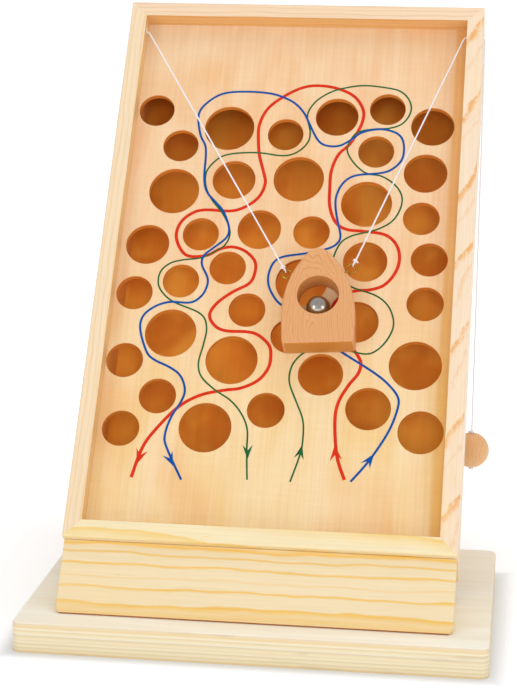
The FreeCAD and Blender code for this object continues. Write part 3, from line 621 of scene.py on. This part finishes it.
HANDLE_BEECH = beech("handle_beech", rings((106, 176, 0), FINE_RINGS, 6.0, 2.0),
                     tint(229, 180, 128), tint(220, 167, 113), 2, "here")
INKS = {
    "red": ink("red_ink", tint(218, 52, 20), tint(202, 42, 14)),
    "green": ink("green_ink", tint(26, 104, 52), tint(18, 86, 42)),
    "blue": ink("blue_ink", tint(0, 84, 168), tint(0, 70, 148)),
}

for node, wood in WOODS.items():
    frame["nodes"][node].data.materials.clear()
    frame["nodes"][node].data.materials.append(wood)

easing = frame["nodes"]["play_board"].modifiers.new("eased_edges", "BEVEL")
easing.width = 0.35 * MM
easing.segments = 2
easing.limit_method = "ANGLE"
easing.angle_limit = math.radians(60)
easing.harden_normals = True

# ---------------------------------------------------------------- mesh helpers


def new_piece(name, verts, faces, material, smooth=True):
    mesh = bpy.data.meshes.new(name)
    mesh.from_pydata([tuple(v) for v in verts], [], faces)
    mesh.validate()
    made = bmesh.new()
    made.from_mesh(mesh)
    bmesh.ops.recalc_face_normals(made, faces=made.faces)
    made.to_mesh(mesh)
    made.free()
    mesh.polygons.foreach_set("use_smooth", [smooth] * len(mesh.polygons))
    mesh.materials.append(material)
    piece = bpy.data.objects.new(name, mesh)
    bpy.context.collection.objects.link(piece)
    return piece


def joined(shapes):
    """One list of vertices and faces from several."""
    verts, faces = [], []
    for more_verts, more_faces in shapes:
        base = len(verts)
        verts += list(more_verts)
        faces += [tuple(base + i for i in face) for face in more_faces]
    return verts, faces


def across_of(tangent):
    """A unit vector square to a tangent."""
    side = np.cross(tangent, (0.0, 1.0, 0.0))
    if np.linalg.norm(side) < 1e-3:
        side = np.cross(tangent, (1.0, 0.0, 0.0))
    return side / np.linalg.norm(side)


def steady_frames(line):
    """Tangent and two cross directions at each point, without twist."""
    tangent = np.gradient(line, axis=0)
    tangent /= np.linalg.norm(tangent, axis=1)[:, None]
    first = np.empty_like(line)
    first[0] = across_of(tangent[0])
    for i in range(1, len(line)):
        moved = first[i - 1] - tangent[i] * (first[i - 1] @ tangent[i])
        first[i] = moved / np.linalg.norm(moved)
    return tangent, first, np.cross(tangent, first)


def sweep(line, radius, sides):
    """Closed tube round a line, as vertices and faces."""
    line = np.asarray(line, float)
    radius = np.broadcast_to(radius, len(line))
    _, first, second = steady_frames(line)
    verts = []
    for i in range(len(line)):
        for k in range(sides):
            angle = 2 * math.pi * k / sides
            verts.append(line[i] + radius[i] * (math.cos(angle) * first[i]
                                                + math.sin(angle) * second[i]))
    faces = []
    for i in range(len(line) - 1):
        for k in range(sides):
            after = (k + 1) % sides
            faces.append((i * sides + k, i * sides + after,
                          (i + 1) * sides + after, (i + 1) * sides + k))
    faces.append(tuple(range(sides)))
    faces.append(tuple((len(line) - 1) * sides + k for k in range(sides)))
    return verts, faces


def lathe(profile, centre, segments):
    """Closed solid of revolution about the upright line through centre."""
    verts, faces = [], []
    for radius, height in profile:
        for k in range(segments):
            angle = 2 * math.pi * k / segments
            verts.append((centre[0] + radius * math.cos(angle),
                          centre[1] + radius * math.sin(angle), centre[2] + height))
    count = len(profile)
    for i in range(count):
        for k in range(segments):
            after = (k + 1) % segments
            faces.append((i * segments + k, i * segments + after,
                          (i + 1) % count * segments + after,
                          (i + 1) % count * segments + k))
    return verts, faces


def even_steps(line, step):
    """Points at an even spacing along a line, and their distances."""
    line = np.asarray(line, float)
    gone = np.concatenate([[0], np.cumsum(np.linalg.norm(np.diff(line, axis=0), axis=1))])
    count = max(2, round(gone[-1] / step) + 1)
    wanted = np.linspace(0, gone[-1], count)
    return np.stack([np.interp(wanted, gone, line[:, k]) for k in range(3)], 1), wanted


# ---------------------------------------------------------------- cords

CORD_RADIUS = 0.6 * MM

# Where a cord enters and leaves its guide hole, and how far off the next points are.
GUIDE_UP = 434
GUIDE_OUT = 0.5
GUIDE_ACROSS = {"inside": 113.3, "outside": 127.2}
NEAR_CORNER = 7.2

# One turn of the strands, the spacing of their points, and how far they press together.
TWIST = 4.2 * MM
STRAND_STEP = 0.42 * MM
STRAND_PLUMP = 1.08

KNOT_RADIUS = 1.6
KNOT_GAP = 1.4
HANDLE_RADIUS = 13


def on_shuttle(x, s, n):
    """Point in the row frame from millimetres round the shuttle's bore."""
    c, d = math.cos(SHUTTLE_TURN), math.sin(SHUTTLE_TURN)
    return place(BORE_ACROSS + x * c - s * d, BORE_UP + x * d + s * c, n)


def nurbs_line(name, points):
    """Points read from the NURBS spline with these control points."""
    curve = bpy.data.curves.new(name, "CURVE")
    curve.dimensions = "3D"
    spline = curve.splines.new("NURBS")
    spline.points.add(len(points) - 1)
    for control, point in zip(spline.points, points):
        control.co = (*point, 1)
    spline.order_u = 3
    spline.use_endpoint_u = True
    spline.resolution_u = 32
    holder = bpy.data.objects.new(name, curve)
    bpy.context.collection.objects.link(holder)
    mesh = bpy.data.meshes.new_from_object(holder)
    line = np.array([v.co for v in mesh.vertices], float)
    bpy.data.objects.remove(holder)
    bpy.data.meshes.remove(mesh)
    return line


def rope(line):
    """Three strands laid round a line, and each vertex's distance along it."""
    points, gone = even_steps(line, STRAND_STEP)
    _, first, second = steady_frames(points)
    strand = CORD_RADIUS / (1 + 2 / math.sqrt(3))
    shapes, distances = [], []
    sides = 6
    for k in range(3):
        angle = 2 * math.pi * (gone / TWIST + k / 3)
        offset = strand * 2 / math.sqrt(3)
        path = points + offset * (np.cos(angle)[:, None] * first
                                  + np.sin(angle)[:, None] * second)
        shapes.append(sweep(path, strand * STRAND_PLUMP, sides))
        distances += list(np.repeat(gone, sides))
    return joined(shapes), np.array(distances), points, float(gone[-1])


def set_weights(piece, weights):
    """Straight-line weights, so that a taut cord stays straight as it moves."""
    attribute = piece.data.attributes["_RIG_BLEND"]
    attribute.data.foreach_set("value", weights.astype(np.float32))


def overhand(centre, size, radius, heading, steps=90):
    """A tight overhand knot as a closed tube."""
    t = np.linspace(0, 2 * math.pi, steps + 1)
    knot = np.stack([np.sin(t) + 2 * np.sin(2 * t), np.cos(t) - 2 * np.cos(2 * t),
                     -1.2 * np.sin(3 * t)], 1) * size / 3
    turn = np.array(Vector(heading).to_track_quat("Z", "Y").to_matrix())
    return sweep(knot @ turn.T + np.array(centre), radius, 8)


def tail(start, heading, length, radius, droop):
    """A short cut end of cord that curves away."""
    steps = np.linspace(0, 1, 9)[:, None]
    line = (np.array(start) + steps * np.array(heading) * length
            + steps ** 2 * np.array(droop) * length)
    thick = radius * np.array([1, 1, 1, 1, 1, 1, 1.05, 1.2, 1.1])
    return sweep(line, thick, 8)


def ring_loop(eye, pull, knot_at):
    """The cord's closed loop through a screw eye's ring, drawn together at the knot."""
    centre = np.array(eye + pull * EYE_RING * MM)
    far = np.array(knot_at)
    long = np.linalg.norm(far - centre) + (EYE_WIRE + 0.55) * MM
    narrow = (EYE_WIRE + 0.55) * MM
    line = []
    for t in np.linspace(0, 2 * math.pi, 41):
        along = far + np.array(pull) * (long * (math.cos(t) - 1) / 2)
        line.append(along + np.array(OUT) * narrow * math.sin(t) * (1 - math.cos(t)) / 1.3)
    return sweep(line, 0.5 * MM, 8)


def cord_side(side, word):
    """The cord of one side from the screw eye through the guide hole to the handle."""
    eye = on_shuttle(*EYES[word][:2], EYE_OUT)
    inside = place(side * GUIDE_ACROSS["inside"], GUIDE_UP, GUIDE_OUT)
    outside = place(side * GUIDE_ACROSS["outside"], GUIDE_UP, GUIDE_OUT)
    pull = (inside - eye).normalized()
    knot_at = eye + pull * (EYE_RING + KNOT_GAP + KNOT_RADIUS) * MM
    low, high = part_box(f"{word}_handle_ball")
    ball = (low + high) / 2
    under = Vector((outside.x, outside.y, low.z))
    near_outer = outside - Vector((0, 0, NEAR_CORNER * MM))
    near_inner = inside - pull * NEAR_CORNER * MM
    line = nurbs_line(f"{word}_cord_route",
                      [under, near_outer, outside, inside, near_inner, knot_at])
    pivot = next(j for j in frame["joints"] if j["name"] == f"{word}_cord_swing")["pos_m"]
    corner = int(np.argmax((line[:, 2] > pivot[2]) & (np.abs(line[:, 1] - pivot[1]) < MM)))
    hanging, taut = line[:corner + 1], line[corner:]

    body, handle = f"{word}_cord", f"{word}_handle"
    shape, gone, points, length = rope(hanging)
    outer = new_piece(f"{word}_hanging_cord", *shape, CORD)
    top_of_ball = high.z
    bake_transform(outer, body, handle, start=points[-1], end=(under.x, under.y, top_of_ball))
    free = length - (top_of_ball - low.z)
    set_weights(outer, np.clip((length - gone) / free, 0, 1))
    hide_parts(f"{word}_outer_cord")

    end_knot = new_piece(f"{word}_pull_knot", *joined([
        overhand((ball.x, ball.y, low.z - 0.9 * MM), 1.35 * MM, 0.6 * MM, (0.2, 0.1, 1)),
        tail((ball.x + 0.3 * MM, ball.y, low.z - 1.0 * MM), (0.9, 0.2, -0.15), 1.7 * MM,
             CORD_RADIUS, (0.1, 0, -0.1))]), CORD)
    top_knot = new_piece(f"{word}_ball_knot", *joined([
        overhand((ball.x, ball.y, high.z + 0.9 * MM), 1.25 * MM, 0.6 * MM, (0.1, -0.3, 1)),
        tail((ball.x - 0.8 * MM, ball.y, high.z + 1.2 * MM), (-0.9, -0.1, 0.2), 2.4 * MM,
             CORD_RADIUS, (0, 0, -0.4))]), CORD)
    for knot in (end_knot, top_knot):
        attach(knot, handle)
    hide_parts(f"{word}_handle_knot")
    pull_ball = handle_ball(word, ball)

    shape, gone, points, length = rope(taut)
    inner = new_piece(f"{word}_taut_cord", *shape, CORD)
    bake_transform(inner, "frame", "shuttle", start=inside, end=knot_at)
    run = (knot_at - inside).length
    set_weights(inner, np.clip((gone - (length - run)) / run, 0, 1))
    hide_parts(f"{word}_inner_cord", f"{word}_guide_cord")

    eye_knot = new_piece(f"{word}_eye_knot_tied", *joined([
        overhand(knot_at, 1.3 * MM, 0.58 * MM, pull + OUT * 0.3),
        ring_loop(eye, pull, knot_at),
        tail(knot_at, Vector((side * 0.75, -0.5, -0.1)), 2.4 * MM, 0.5 * MM,
             Vector((0, 0, -0.4)))]), CORD)
    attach(eye_knot, "shuttle")
    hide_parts(f"{word}_eye_knot")


def handle_ball(word, centre):
    """Turned beech ball with a drilled and eased bore."""
    outer, bore, ease = HANDLE_RADIUS * MM, 1.6 * MM, 0.5 * MM
    start = math.asin((bore + ease) / outer)
    profile = []
    for step in range(49):
        angle = start + (math.pi - 2 * start) * step / 48
        profile.append((outer * math.sin(angle), outer * math.cos(angle)))
    rim = outer * math.cos(start)
    profile += [(bore + 0.15 * MM, -rim + 0.12 * MM), (bore, -rim + 0.6 * MM),
                (bore, 0), (bore, rim - 0.6 * MM), (bore + 0.15 * MM, rim - 0.12 * MM)]
    piece = new_piece(f"{word}_pull_ball", *lathe(profile, centre, 72), HANDLE_BEECH)
    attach(piece, f"{word}_handle")
    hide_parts(f"{word}_handle_ball")
    return piece


cord_side(-1, "left")
cord_side(1, "right")

# ---------------------------------------------------------------- printed routes

# How far the ink's solids reach into the wood, in millimetres.
LINE_UNDER = 0.4

# Each route: width, rise over the wood, points as x and s in millimetres, and arrowheads as
# tip, heading, length and width. A separate program made the points from measured places.
PRINTS = {
    "red": (2.2, 0.10, [
        (51, 101), (45, 117), (42, 140), (43, 154), (49, 167), (55, 176), (56, 184), (52, 191),
        (45, 200), (37, 211), (34, 222), (39, 231), (49, 236), (58, 237), (68, 241), (75, 251),
        (77, 262), (74, 272), (66, 279), (52, 281), (40, 282), (32, 287), (27, 299), (26, 313),
        (26, 327), (30, 340), (37, 348), (42, 358), (45, 367), (45, 376), (39, 386), (29, 392),
        (16, 395), (3, 394), (-10, 387), (-22, 376), (-27, 363), (-27, 352), (-25, 338),
        (-21, 325), (-19, 315), (-24, 303), (-38, 294), (-57, 294), (-66, 292), (-74, 285),
        (-77, 275), (-74, 265), (-67, 258), (-54, 259), (-46, 264), (-37, 266), (-28, 263),
        (-21, 256), (-20, 248), (-23, 239), (-34, 232), (-44, 223), (-48, 214), (-43, 206),
        (-35, 203), (-22, 203), (-14, 201), (-6, 194), (-4, 186), (-5, 177), (-11, 168),
        (-22, 162), (-33, 160), (-48, 156), (-62, 147), (-75, 131), (-83, 117), (-88, 96)],
        [((43, 125), (-3, 20), 11, 8), ((-85.5, 105), (-4, -16), 11, 8)]),
    "green": (1.1, 0.13, [
        (16, 98), (21, 117), (22, 128), (21, 141), (16, 153), (10, 167), (10, 177), (13, 184),
        (19, 190), (28, 193), (42, 193), (58, 190), (66, 193), (73, 202), (76, 213), (72, 225),
        (63, 233), (48, 238), (42, 242), (35, 250), (32, 258), (36, 271), (43, 277), (52, 280),
        (61, 283), (70, 289), (75, 298), (76, 308), (71, 317), (61, 324), (50, 326), (41, 334),
        (36, 343), (37, 350), (42, 358), (53, 361), (64, 362), (73, 366), (78, 375), (77, 384),
        (70, 392), (57, 395), (44, 396), (32, 394), (21, 390), (11, 382), (6, 371), (9, 358),
        (8, 349), (1, 341), (-9, 338), (-27, 340), (-47, 338), (-56, 332), (-61, 323),
        (-60, 312), (-55, 302), (-46, 291), (-40, 278), (-42, 268), (-49, 262), (-58, 257),
        (-70, 255), (-79, 252), (-85, 245), (-85, 235), (-79, 227), (-71, 222), (-54, 215),
        (-49, 205), (-50, 192), (-52, 179), (-49, 169), (-39, 160), (-28, 153), (-20, 144),
        (-15, 133), (-14, 118), (-12, 98)],
        [((22, 124), (3, 18), 10, 6.5), ((-13, 112), (1, -14), 10, 6.5)]),
    "blue": (1.5, 0.16, [
        (55, 100), (66, 115), (77, 135), (82, 151), (82, 160), (75, 169), (65, 177), (44, 190),
        (35, 196), (24, 203), (13, 212), (6, 220), (-3, 226), (-10, 238), (-10, 250), (-4, 259),
        (14, 263), (28, 267), (34, 271), (36, 277), (33, 289), (31, 299), (31, 308), (35, 318),
        (43, 324), (58, 326), (67, 329), (74, 337), (75, 348), (72, 356), (65, 360), (56, 361),
        (45, 358), (38, 352), (30, 347), (21, 347), (15, 351), (9, 362), (4, 372), (-3, 380),
        (-12, 385), (-22, 388), (-39, 389), (-55, 387), (-66, 379), (-71, 369), (-68, 353),
        (-63, 342), (-62, 319), (-59, 308), (-52, 300), (-46, 293), (-41, 281), (-42, 273),
        (-50, 265), (-56, 259), (-57, 252), (-52, 242), (-52, 235), (-55, 228), (-62, 223),
        (-76, 223), (-86, 219), (-93, 212), (-94, 202), (-88, 186), (-82, 180), (-71, 175),
        (-63, 169), (-59, 159), (-61, 150), (-66, 140), (-69, 127), (-67, 118), (-55, 96)],
        [((69, 120), (8, 13), 10, 7), ((-61, 105), (5, -9), 10, 7)]),
}


def smooth_line(points, steps=8):
    """Even curve through a list of points (a Catmull-Rom curve)."""
    pts = np.array([points[0], *points, points[-1]], float)
    out = []
    for i in range(1, len(pts) - 2):
        p0, p1, p2, p3 = pts[i - 1:i + 3]
        for t in np.arange(steps) / steps:
            out.append(0.5 * (2 * p1 + (p2 - p0) * t + (2 * p0 - 5 * p1 + 4 * p2 - p3) * t ** 2
                              + (3 * p1 - p0 - 3 * p2 + p3) * t ** 3))
    out.append(pts[-2])
    return np.array(out)


def slab(outline_pairs, bottom, top):
    """Closed slab between pairs of left and right points of the slope."""
    verts, faces = [], []
    for left, right in outline_pairs:
        verts += [place(*left, bottom), place(*right, bottom),
                  place(*right, top), place(*left, top)]
    for i in range(len(outline_pairs) - 1):
        for k in range(4):
            after = (k + 1) % 4
            faces.append((4 * i + k, 4 * i + after, 4 * i + 4 + after, 4 * i + 4 + k))
    faces += [(0, 1, 2, 3), tuple(4 * (len(outline_pairs) - 1) + k for k in range(4))]
    return verts, faces


def ribbon(points, width, bottom, top):
    line = smooth_line(points)
    for _ in range(2):
        line[1:-1] = (line[:-2] + 2 * line[1:-1] + line[2:]) / 4
    heading = np.gradient(line, axis=0)
    heading /= np.linalg.norm(heading, axis=1)[:, None]
    side = np.stack([-heading[:, 1], heading[:, 0]], 1) * width / 2
    return slab([(tuple(p - d), tuple(p + d)) for p, d in zip(line, side)], bottom, top)


def arrow(tip, heading, long, wide, bottom, top):
    """Barbed arrowhead with a notched back."""
    tip = np.array(tip, float)
    ahead = np.array(heading, float) / np.linalg.norm(heading)
    side = np.array([-ahead[1], ahead[0]])
    left = tip - ahead * long + side * wide / 2
    right = tip - ahead * long - side * wide / 2
    notch = tip - ahead * long * 0.62
    outline = [tip, left, notch, right]
    verts = [place(*p, bottom) for p in outline] + [place(*p, top) for p in outline]
    faces = [(0, 1, 2), (0, 2, 3), (4, 6, 5), (4, 7, 6)]
    faces += [(k, (k + 1) % 4, 4 + (k + 1) % 4, 4 + k) for k in range(4)]
    return verts, faces


def board_cutter():
    """A copy of the board, raised by the thickness of the ink."""
    cutter = bpy.data.objects.new("cutter", frame["nodes"]["play_board"].data.copy())
    bpy.context.collection.objects.link(cutter)
    welded = bmesh.new()
    welded.from_mesh(cutter.data)
    bmesh.ops.remove_doubles(welded, verts=welded.verts, dist=1e-7)
    for vertex in welded.verts:
        if (vertex.co - ORIGIN).dot(OUT) > BOARD_FRONT - 0.01 * MM:
            vertex.co += OUT * MM
    welded.to_mesh(cutter.data)
    welded.free()
    return cutter


def clipped(piece, cutter):
    """Keep only what lies over the board's wood."""
    modifier = piece.modifiers.new("cut", "BOOLEAN")
    modifier.operation = "INTERSECT"
    modifier.solver = "EXACT"
    modifier.object = cutter
    graph = bpy.context.evaluated_depsgraph_get()
    mesh = bpy.data.meshes.new_from_object(piece.evaluated_get(graph))
    piece.modifiers.clear()
    mesh.materials.clear()
    mesh.materials.append(piece.data.materials[0])
    mesh.polygons.foreach_set("material_index", [0] * len(mesh.polygons))
    piece.data = mesh


def printed_routes():
    cutter = board_cutter()
    front = BOARD_FRONT / MM
    for colour, (width, rise, points, arrows) in PRINTS.items():
        shapes = [ribbon(points, width, front - LINE_UNDER, front + rise)]
        lines = new_piece(f"{colour}_route", *joined(shapes), INKS[colour], smooth=False)
        clipped(lines, cutter)
        heads = new_piece(f"{colour}_arrows", *joined([
            arrow(*head, front - LINE_UNDER, front + rise + 0.02) for head in arrows]),
            INKS[colour], smooth=False)
        for piece in (lines, heads):
            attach(piece, "frame")
    bpy.data.objects.remove(cutter)


printed_routes()

# ---------------------------------------------------------------- ball and screw eyes


def steel_ball():
    low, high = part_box("steel_ball")
    centre, radius = (low + high) / 2, (high.z - low.z) / 2
    made = bmesh.new()
    bmesh.ops.create_icosphere(made, subdivisions=5, radius=radius,
                               matrix=Matrix.Translation(centre))
    mesh = bpy.data.meshes.new("polished_ball")
    made.to_mesh(mesh)
    made.free()
    mesh.polygons.foreach_set("use_smooth", [True] * len(mesh.polygons))
    mesh.materials.append(STEEL)
    piece = bpy.data.objects.new("polished_ball", mesh)
    bpy.context.collection.objects.link(piece)
    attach(piece, "ball")
    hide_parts("steel_ball")


SHANK_RADIUS = 0.82 * MM
THREAD_PITCH = 0.85 * MM
THREAD_RADIUS = 0.24 * MM


def screw_eye(side, word):
    """Bent brass wire: threaded shank, neck and a ring that nearly closes."""
    across, up, lean, roll = EYES[word]
    centre = on_shuttle(across, up, EYE_OUT)
    heading = SHUTTLE_TURN + math.radians(lean if side > 0 else 180 - lean)
    roll = math.radians(roll)
    along = Vector((math.cos(heading), 0, 0)) + UP * math.sin(heading)
    flat = OUT.cross(along)
    sideways = flat * math.cos(roll) + OUT * math.sin(roll)
    ring = EYE_RING * MM

    def at(a, b, c=0.0):
        normal = along.cross(sideways)
        return centre + along * a + sideways * b + normal * c

    wire = [at(-ring - 9 * MM, 0), at(-ring - 5 * MM, 0), at(-ring - 2.2 * MM, 0),
            at(-ring - 0.9 * MM, 0.05 * MM)]
    for degrees in range(170, -166, -9):
        angle = math.radians(degrees)
        wire.append(at(ring * math.cos(angle), ring * math.sin(angle),
                       0.25 * MM * (1 - degrees / 170)))
    points, _ = even_steps(wire, 0.45 * MM)
    shank = [at(-ring - 10.8 * MM + k * 0.4 * MM, 0) for k in range(24)]
    thick = [0.2 * MM, 0.5 * MM] + [SHANK_RADIUS] * 20 + [0.78 * MM, 0.72 * MM]
    turns = np.arange(0, 8 * 2 * math.pi, 2 * math.pi / 14)
    thread = [at(-ring - 9.8 * MM + angle / (2 * math.pi) * THREAD_PITCH,
                 SHANK_RADIUS * math.cos(angle), SHANK_RADIUS * math.sin(angle))
              for angle in turns]
    piece = new_piece(f"{word}_brass_eye", *joined([
        sweep(points, EYE_WIRE * MM, 12), sweep(shank, thick, 16),
        sweep(thread, THREAD_RADIUS, 6)]), BRASS)
    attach(piece, "shuttle")
    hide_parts(f"{word}_screw_eye")


steel_ball()
screw_eye(-1, "left")
screw_eye(1, "right")

# ---------------------------------------------------------------- fasteners

for node in ("base_screws", "back_panel_pins"):
    frame["nodes"][node].data.materials.clear()
    frame["nodes"][node].data.materials.append(ZINC)

# ---------------------------------------------------------------- floor and light

WORLD_LIGHT = 0.6
AIM = Vector((0.02, 0.03, 0.2))

# The floor gives off some light so that it reads white: strength and reach in metres of
# the glow just outside the foot plate, and of the one further out.
FOOT_HALF = (148.5 * MM, 99 * MM)
NEAR_GLOW, NEAR_REACH = 0.28, (1 * MM, 16 * MM)
FAR_GLOW, FAR_REACH = 0.35, (0.01, 0.4)
FLOOR_HALF = 30

# Each round softbox: its place, its diameter and its power in watts.
SOFTBOXES = {
    "softbox_left": ((-0.92, -1.15, 0.56), 0.6, 3.0),
    "softbox_right": ((1.20, -0.90, 0.52), 0.6, 2.6),
    "softbox_top": ((0.20, 0.45, 1.80), 1.6, 11.0),
    "softbox_front": ((0.22, -1.40, 0.62), 0.7, 4.0),
}
# Only these are mirrored in glossy surfaces such as the ball.
MIRRORED_BOXES = ("softbox_left", "softbox_right")


def studio():
    floor = Paint("floor", roughness=0.9, specular=0.1)
    spread = floor.noise(floor.here(), 3, 2)
    floor.colour(floor.mix(spread, (0.80, 0.81, 0.83, 1), (0.82, 0.83, 0.85, 1)))
    x, y, _ = floor.parts(floor.here())
    away = floor.math("MAXIMUM",
                      floor.math("SUBTRACT", floor.math("ABSOLUTE", x), FOOT_HALF[0]),
                      floor.math("SUBTRACT", floor.math("ABSOLUTE", y), FOOT_HALF[1]))
    near = floor.math("MULTIPLY", floor.share(away, *NEAR_REACH), NEAR_GLOW)
    glow = floor.math("ADD", near, floor.math(
        "MULTIPLY", floor.share(away, *FAR_REACH), FAR_GLOW))
    floor.surface.inputs["Emission Color"].default_value = (1, 1, 1, 1)
    floor.put(floor.surface.inputs["Emission Strength"], glow)
    half = FLOOR_HALF
    ground = new_piece("floor", [(-half, -half, 0), (half, -half, 0), (half, half, 0),
                                 (-half, half, 0)], [(0, 1, 2, 3)], floor.material, False)

    world = bpy.data.worlds.new("studio")
    world.use_nodes = True
    background = world.node_tree.nodes["Background"]
    background.inputs["Color"].default_value = (1, 1, 1, 1)
    background.inputs["Strength"].default_value = WORLD_LIGHT
    bpy.context.scene.world = world

    for name, (at, wide, power) in SOFTBOXES.items():
        data = bpy.data.lights.new(name, "AREA")
        data.shape = "DISK"
        data.size = wide
        data.energy = power
        light = bpy.data.objects.new(name, data)
        bpy.context.collection.objects.link(light)
        light.location = at
        light.visible_glossy = name in MIRRORED_BOXES
        light.rotation_mode = "QUATERNION"
        light.rotation_quaternion = (AIM - light.location).to_track_quat("-Z", "Y")
    bpy.context.scene.view_settings.view_transform = "Standard"
    bpy.context.scene.view_settings.look = "None"


studio()
